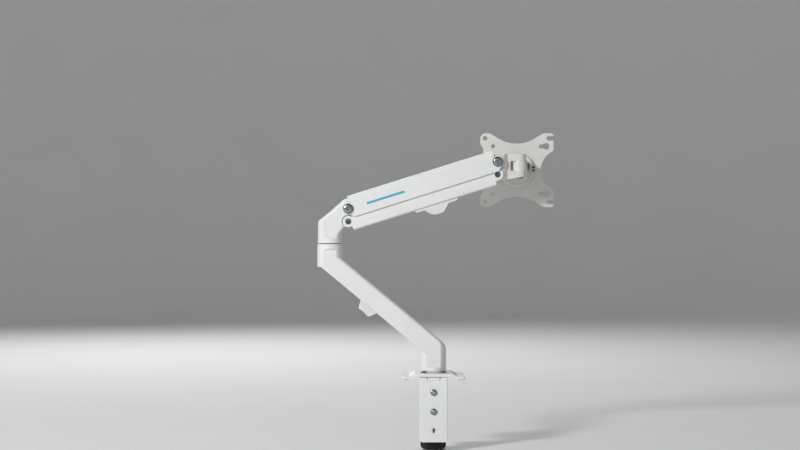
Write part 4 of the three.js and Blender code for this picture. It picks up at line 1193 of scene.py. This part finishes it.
def head_bracket():
    low, high = span("head_bracket")
    left, step, top, ear_y = low.x, HEAD["step"], high.z, high.y
    end = PAN.x + HEAD["fork_r"]
    fork_y = HEAD["fork_y"]
    ear_view = rounded([(left, low.z, 4), (step + 1, low.z + 2.4), (step + 1, top), (left + 1, top, 7)])
    taper = ear_y + 1 - fork_y
    side = [(left - 2, fork_y + taper), (step - taper, fork_y + taper), (step, fork_y)]
    ear_plan = [(x, -y) for x, y in side] + side[::-1]
    ear = common(prism(ear_view, -ear_y, ear_y, "y", 0.8, 3), prism(ear_plan, 290, 360))
    fork_view = [(step - 4, low.z + 1.8), (end + 1, low.z + 7.3), (end + 1, top), (step - 4, top)]
    fork_plan = [(step - 4, -fork_y)] + arc(PAN.x, 0, HEAD["fork_r"], -90, 90) + [(step - 4, fork_y)]
    fork = common(prism(fork_view, -30, 30, "y"), prism(fork_plan, 290, top))
    obj = cut(
        join(ear, fork),
        prism(rectangle(WINDOW["left"], end + 8, WINDOW["bottom"], WINDOW["top"]), -30, 30, "y"),
        block(left - 5, HEAD_UPPER.x + 9, -HEAD["slot"], HEAD["slot"], 290, 360),
        bar("y", HEAD_UPPER.x, HEAD_UPPER.z, AXLE_HOLE, -30, 30, 48),
        bar("y", HEAD_LOWER.x, HEAD_LOWER.z, PIN_HOLE, -30, 30, 48),
        bar("z", PAN.x, 0, AXLE_HOLE, 290, 360, 48),
        bar("z", PAN.x, 0, 6.8, 290, 310.5, 48),
    )
    cast(obj, 0.45, 3, 0.3)
    return place(obj, "head_bracket_casting", "head", "warm_grey_coat", "head_bracket")


def swivel_pin():
    low, high = span("swivel_pin")
    profile = [(0, low.z), (5, low.z), (6.4, low.z + 1), (6.4, low.z + 3.7), (4, low.z + 3.7)]
    profile += arc(3.3, high.z - 0.7, 0.7, 0, 90, 4)
    profile.append((0, high.z))
    pin = lathe(profile, "z", (PAN.x, PAN.y), 64)
    socket = bar("z", PAN.x, PAN.y, 3, low.z - 1, low.z + 2, 6)
    obj = soft_edges(cut(pin, socket), 0.12, 2, 50)
    return place(obj, "swivel_pin_fine", "head", "dark_steel", "swivel_pin")


def swivel_knuckle():
    low, high = span("swivel_knuckle")
    half = KNUCKLE["half"]
    barrel = bar("z", PAN.x, 0, KNUCKLE["r"], low.z, high.z, 96)
    neck = block(PAN.x - half, PAN.x + half, 0, TILT.y, low.z, high.z)
    eye = bar("x", TILT.y, TILT.z, KNUCKLE["tilt_r"], PAN.x - half, PAN.x + half, 96)
    obj = cut(
        join(barrel, neck, eye),
        bar("z", PAN.x, 0, AXLE_HOLE, 290, 360, 48),
        bar("x", TILT.y, TILT.z, 3.8, 100, 170, 48),
    )
    cast(obj, 0.45, 2, 0.3)
    return place(obj, "swivel_knuckle_casting", "knuckle", "warm_grey_coat", "swivel_knuckle")


def tilt_yoke():
    high = span("tilt_yoke")[1]
    plate_from = high.y - 5.7
    foot_low, foot_high = TURN.z - YOKE["half_z"], TURN.z + YOKE["half_z"]
    ear = arc(TILT.y, TILT.z, YOKE["ear_r"], 90, 270)
    ear += [(plate_from + 2, foot_low + 2), (plate_from + 2, foot_high - 1)]
    ears = [
        prism(ear, PAN.x + YOKE["ear_in"], PAN.x + YOKE["ear_out"], "x"),
        prism(ear, PAN.x - YOKE["ear_out"], PAN.x - YOKE["ear_in"], "x"),
    ]
    half = YOKE["half_x"]
    foot = prism(rectangle(PAN.x - half, PAN.x + half, foot_low, foot_high, 4), plate_from, high.y, "y")
    obj = cut(
        join(foot, *ears),
        bar("y", PAN.x, TURN.z, AXLE_HOLE, 40, 70, 48),
        bar("x", TILT.y, TILT.z, 3.8, 100, 170, 48),
    )
    cast(obj, 0.5, 2, 0.3)
    return place(obj, "tilt_yoke_casting", "tilt_head", "warm_grey_coat", "tilt_yoke")


def rotation_disc():
    low, high = span("rotation_disc")
    radius = (high.x - low.x) / 2
    bore = AXLE_HOLE
    profile = [(bore, low.y + 0.4), (bore + 0.4, low.y), (radius - 6, low.y), (radius - 5.4, low.y + 0.5)]
    profile += [(radius - 4.6, low.y + 0.5), (radius - 4, low.y)]
    profile += arc(radius - 1.4, low.y + 1.4, 1.4, -90, 0, 6)
    profile += arc(radius - 0.5, high.y - 0.5, 0.5, 0, 90, 3)
    profile += [(bore, high.y), profile[0]]
    obj = shade(lathe(profile, "y", (TURN.x, TURN.z), 128), 40)
    return place(obj, "rotation_disc_turned", "tilt_head", "warm_grey_coat", "rotation_disc")


STOP = {"rise": 1.6, "groove": 3.2, "groove_at": 2.4, "floor": 1, "lip": 0.8}


def groove_shade_strips():
    """Painted shade: two black strips at the bottom of the rotation stop's grooves, standing in for the dark
    inside deep grooves.
    """
    low, high = span("rotation_stop")
    seat = high.y - STOP["floor"]
    half = STOP["groove"] / 2 - 0.1
    x0, x1 = low.x + STOP["lip"] + 0.1, high.x - 0.3
    for name, side in (("lower", -1), ("upper", 1)):
        centre = TURN.z + STOP["rise"] + side * STOP["groove_at"]
        strip = block(x0, x1, seat - 0.35, seat + 0.05, centre - half, centre + half)
        # painted shade: the strips take the black_plastic finish to darken the groove floors; they are not a
        # plastic part
        place(shade(strip), f"stop_groove_{name}", "tilt_head", "black_plastic")


def small_head_parts():
    refined("rotation_stop", "tilt_head", "warm_grey_coat", 0.35)
    # black strips as painted shade in the stop's grooves
    groove_shade_strips()
    refined("centre_screw", "tilt_head", "dark_steel", 0.2)


def vesa_plate():
    low, high = span("vesa_plate")
    inner, outer, hole, outer_hole = VESA.values()
    key, key_x, slot_half = VESA_SLOT.values()
    through = (low.y - 5, high.y + 5)
    top_r, top_z = SCALLOP["top_r"], SCALLOP["top_z"]
    side_r, side_x = SCALLOP["side_r"], SCALLOP["side_x"]
    right, half = high.x - TURN.x, high.z - TURN.z
    lower = [
        (-right, 41, 7), (-52.8, 34.5, 5), (-52.8, -34.5, 5), (-right, -41, 7),
        (0.5 - right, -half, 8.5), (-42.5, -half, 10),
        *arc(-0.5, -top_z - top_r, top_r, 125, 55, 30),
        (41.5, -half, 10), (right, -half, 4), (right, -30.3, 5),
        *arc(side_x + side_r, 0, side_r, 238, 181, 24),
    ]
    upper = [(x, -z, *radius) for x, z, *radius in reversed(lower[4:])]
    sheet = prism(rounded(lower + upper, 5), low.y, high.y, "y")
    cuts = []
    for side in (-1, 1):
        row, outer_row = inner * side, outer * side
        cuts += [
            bar("y", -outer, outer_row, outer_hole, *through, 48),
            bar("y", -inner, row, hole, *through, 48),
            bar("y", inner, row, hole, *through, 48),
            block(inner, key_x, *through, row - hole, row + hole),
            bar("y", key_x, row, key, *through, 48),
            bar("y", outer, outer_row, slot_half, *through, 48),
            block(outer, outer + 20, *through, outer_row - slot_half, outer_row + slot_half),
        ]
    cuts.append(bar("y", 0, 0, AXLE_HOLE, *through, 48))
    cuts.append(bar("y", 0, 0, 8, high.y - 2, through[1], 64))
    obj = soft_edges(cut(sheet, *cuts), 0.45)
    move(obj, TURN.x, 0, TURN.z)
    return place(obj, "vesa_plate_sheet", "plate", "warm_grey_coat", "vesa_plate")


# ---- stage, light and camera


def stage_material():
    s = Shader("stage_paper", Specular_IOR_Level=0.1)
    cloud = s.range(s.noise(3, 3), 0, 1)
    s.drive("Base Color", s.mix(cloud, (0.80, 0.80, 0.80, 1), (0.82, 0.82, 0.82, 1)))
    s.drive("Roughness", s.range(s.noise(20, 3), 0.85, 0.95))
    return s.material


def stage():
    """A pale round cove: a flat floor that curves up into a wall on all sides."""
    floor, inner, wall, bend, sides = cad_box[0].z / MM - 0.5, 4200, 6500, 12, 96
    profile = [(0, floor), (inner * 0.3, floor), (inner, floor)]
    profile += arc(inner, floor + wall - inner, wall - inner, -90, 0, bend)[1:]
    profile.append((wall, floor + 5200))
    verts = [(0, 0, floor)]
    faces = []
    for radius, z in profile[1:]:
        verts += [
            (radius * math.cos(2 * math.pi * i / sides), radius * math.sin(2 * math.pi * i / sides), z)
            for i in range(sides)
        ]
    for i in range(sides):
        faces.append([0, 1 + i, 1 + (i + 1) % sides])
    for k in range(len(profile) - 2):
        for i in range(sides):
            a, b = 1 + sides * k + i, 1 + sides * k + (i + 1) % sides
            faces.append([a, b, b + sides, a + sides])
    cove = make_object("stage_cove", verts, faces)
    cove.data.shade_smooth()
    cove.data.materials.append(stage_material())


def area_light(name, place_m, size, power, colour=(1, 1, 1)):
    light = bpy.data.lights.new(name, "AREA")
    light.shape = "DISK"
    light.size = size
    light.energy = power
    light.color = colour
    obj = bpy.data.objects.new(name, light)
    obj.location = place_m
    target = (cad_box[0] + cad_box[1]) / 2
    obj.rotation_euler = (target - Vector(place_m)).to_track_quat("-Z", "Y").to_euler()
    bpy.context.scene.collection.objects.link(obj)


def lights():
    area_light("key", (-2.1, -2.6, 1.5), 0.6, 86, (1.0, 0.995, 0.98))
    area_light("fill", (2.6, -2.2, 0.9), 1.8, 4, (0.95, 0.98, 1.0))
    area_light("back", (-0.8, 2.6, 1.8), 1.6, 40)
    world = bpy.data.worlds.new("studio")
    world.use_nodes = True
    background = world.node_tree.nodes["Background"]
    background.inputs["Color"].default_value = (0.95, 0.97, 1.0, 1)
    background.inputs["Strength"].default_value = 0.22
    bpy.context.scene.world = world


def camera():
    """A level camera square to the arm, three metres in front."""
    data = bpy.data.cameras.new("camera")
    data.sensor_width = 36
    data.lens = 87.75
    data.clip_end = 50
    obj = bpy.data.objects.new("camera", data)
    obj.location = (-0.0509, -3.0, 0.235)
    obj.rotation_euler = (math.pi / 2, 0, 0)
    bpy.context.scene.collection.objects.link(obj)
    bpy.context.scene.camera = obj


# ---- build

camera()
lights()
stage()
paint_cad_nodes()

base_plate()
clamp_back_bracket()
clamp_lower_jaw()
desk_pads()
clamp_spindle()
clamp_weld_nut()
clamp_pressure_disc()
clamp_pressure_pad()
clamp_knob()
screws()
nuts()
pins()
base_post()
lower_arm()
lower_arm_clip()
elbow_bracket()
elbow_inner_parts()
upper_arm_cover()
cover_print()
lower_link()
link_cable_clip()
pivot_bushes()
gas_spring_rod()
gas_spring_cylinder()
head_bracket()
swivel_pin()
swivel_knuckle()
tilt_yoke()
rotation_disc()
small_head_parts()
vesa_plate()

bpy.context.scene.view_settings.view_transform = "Standard"
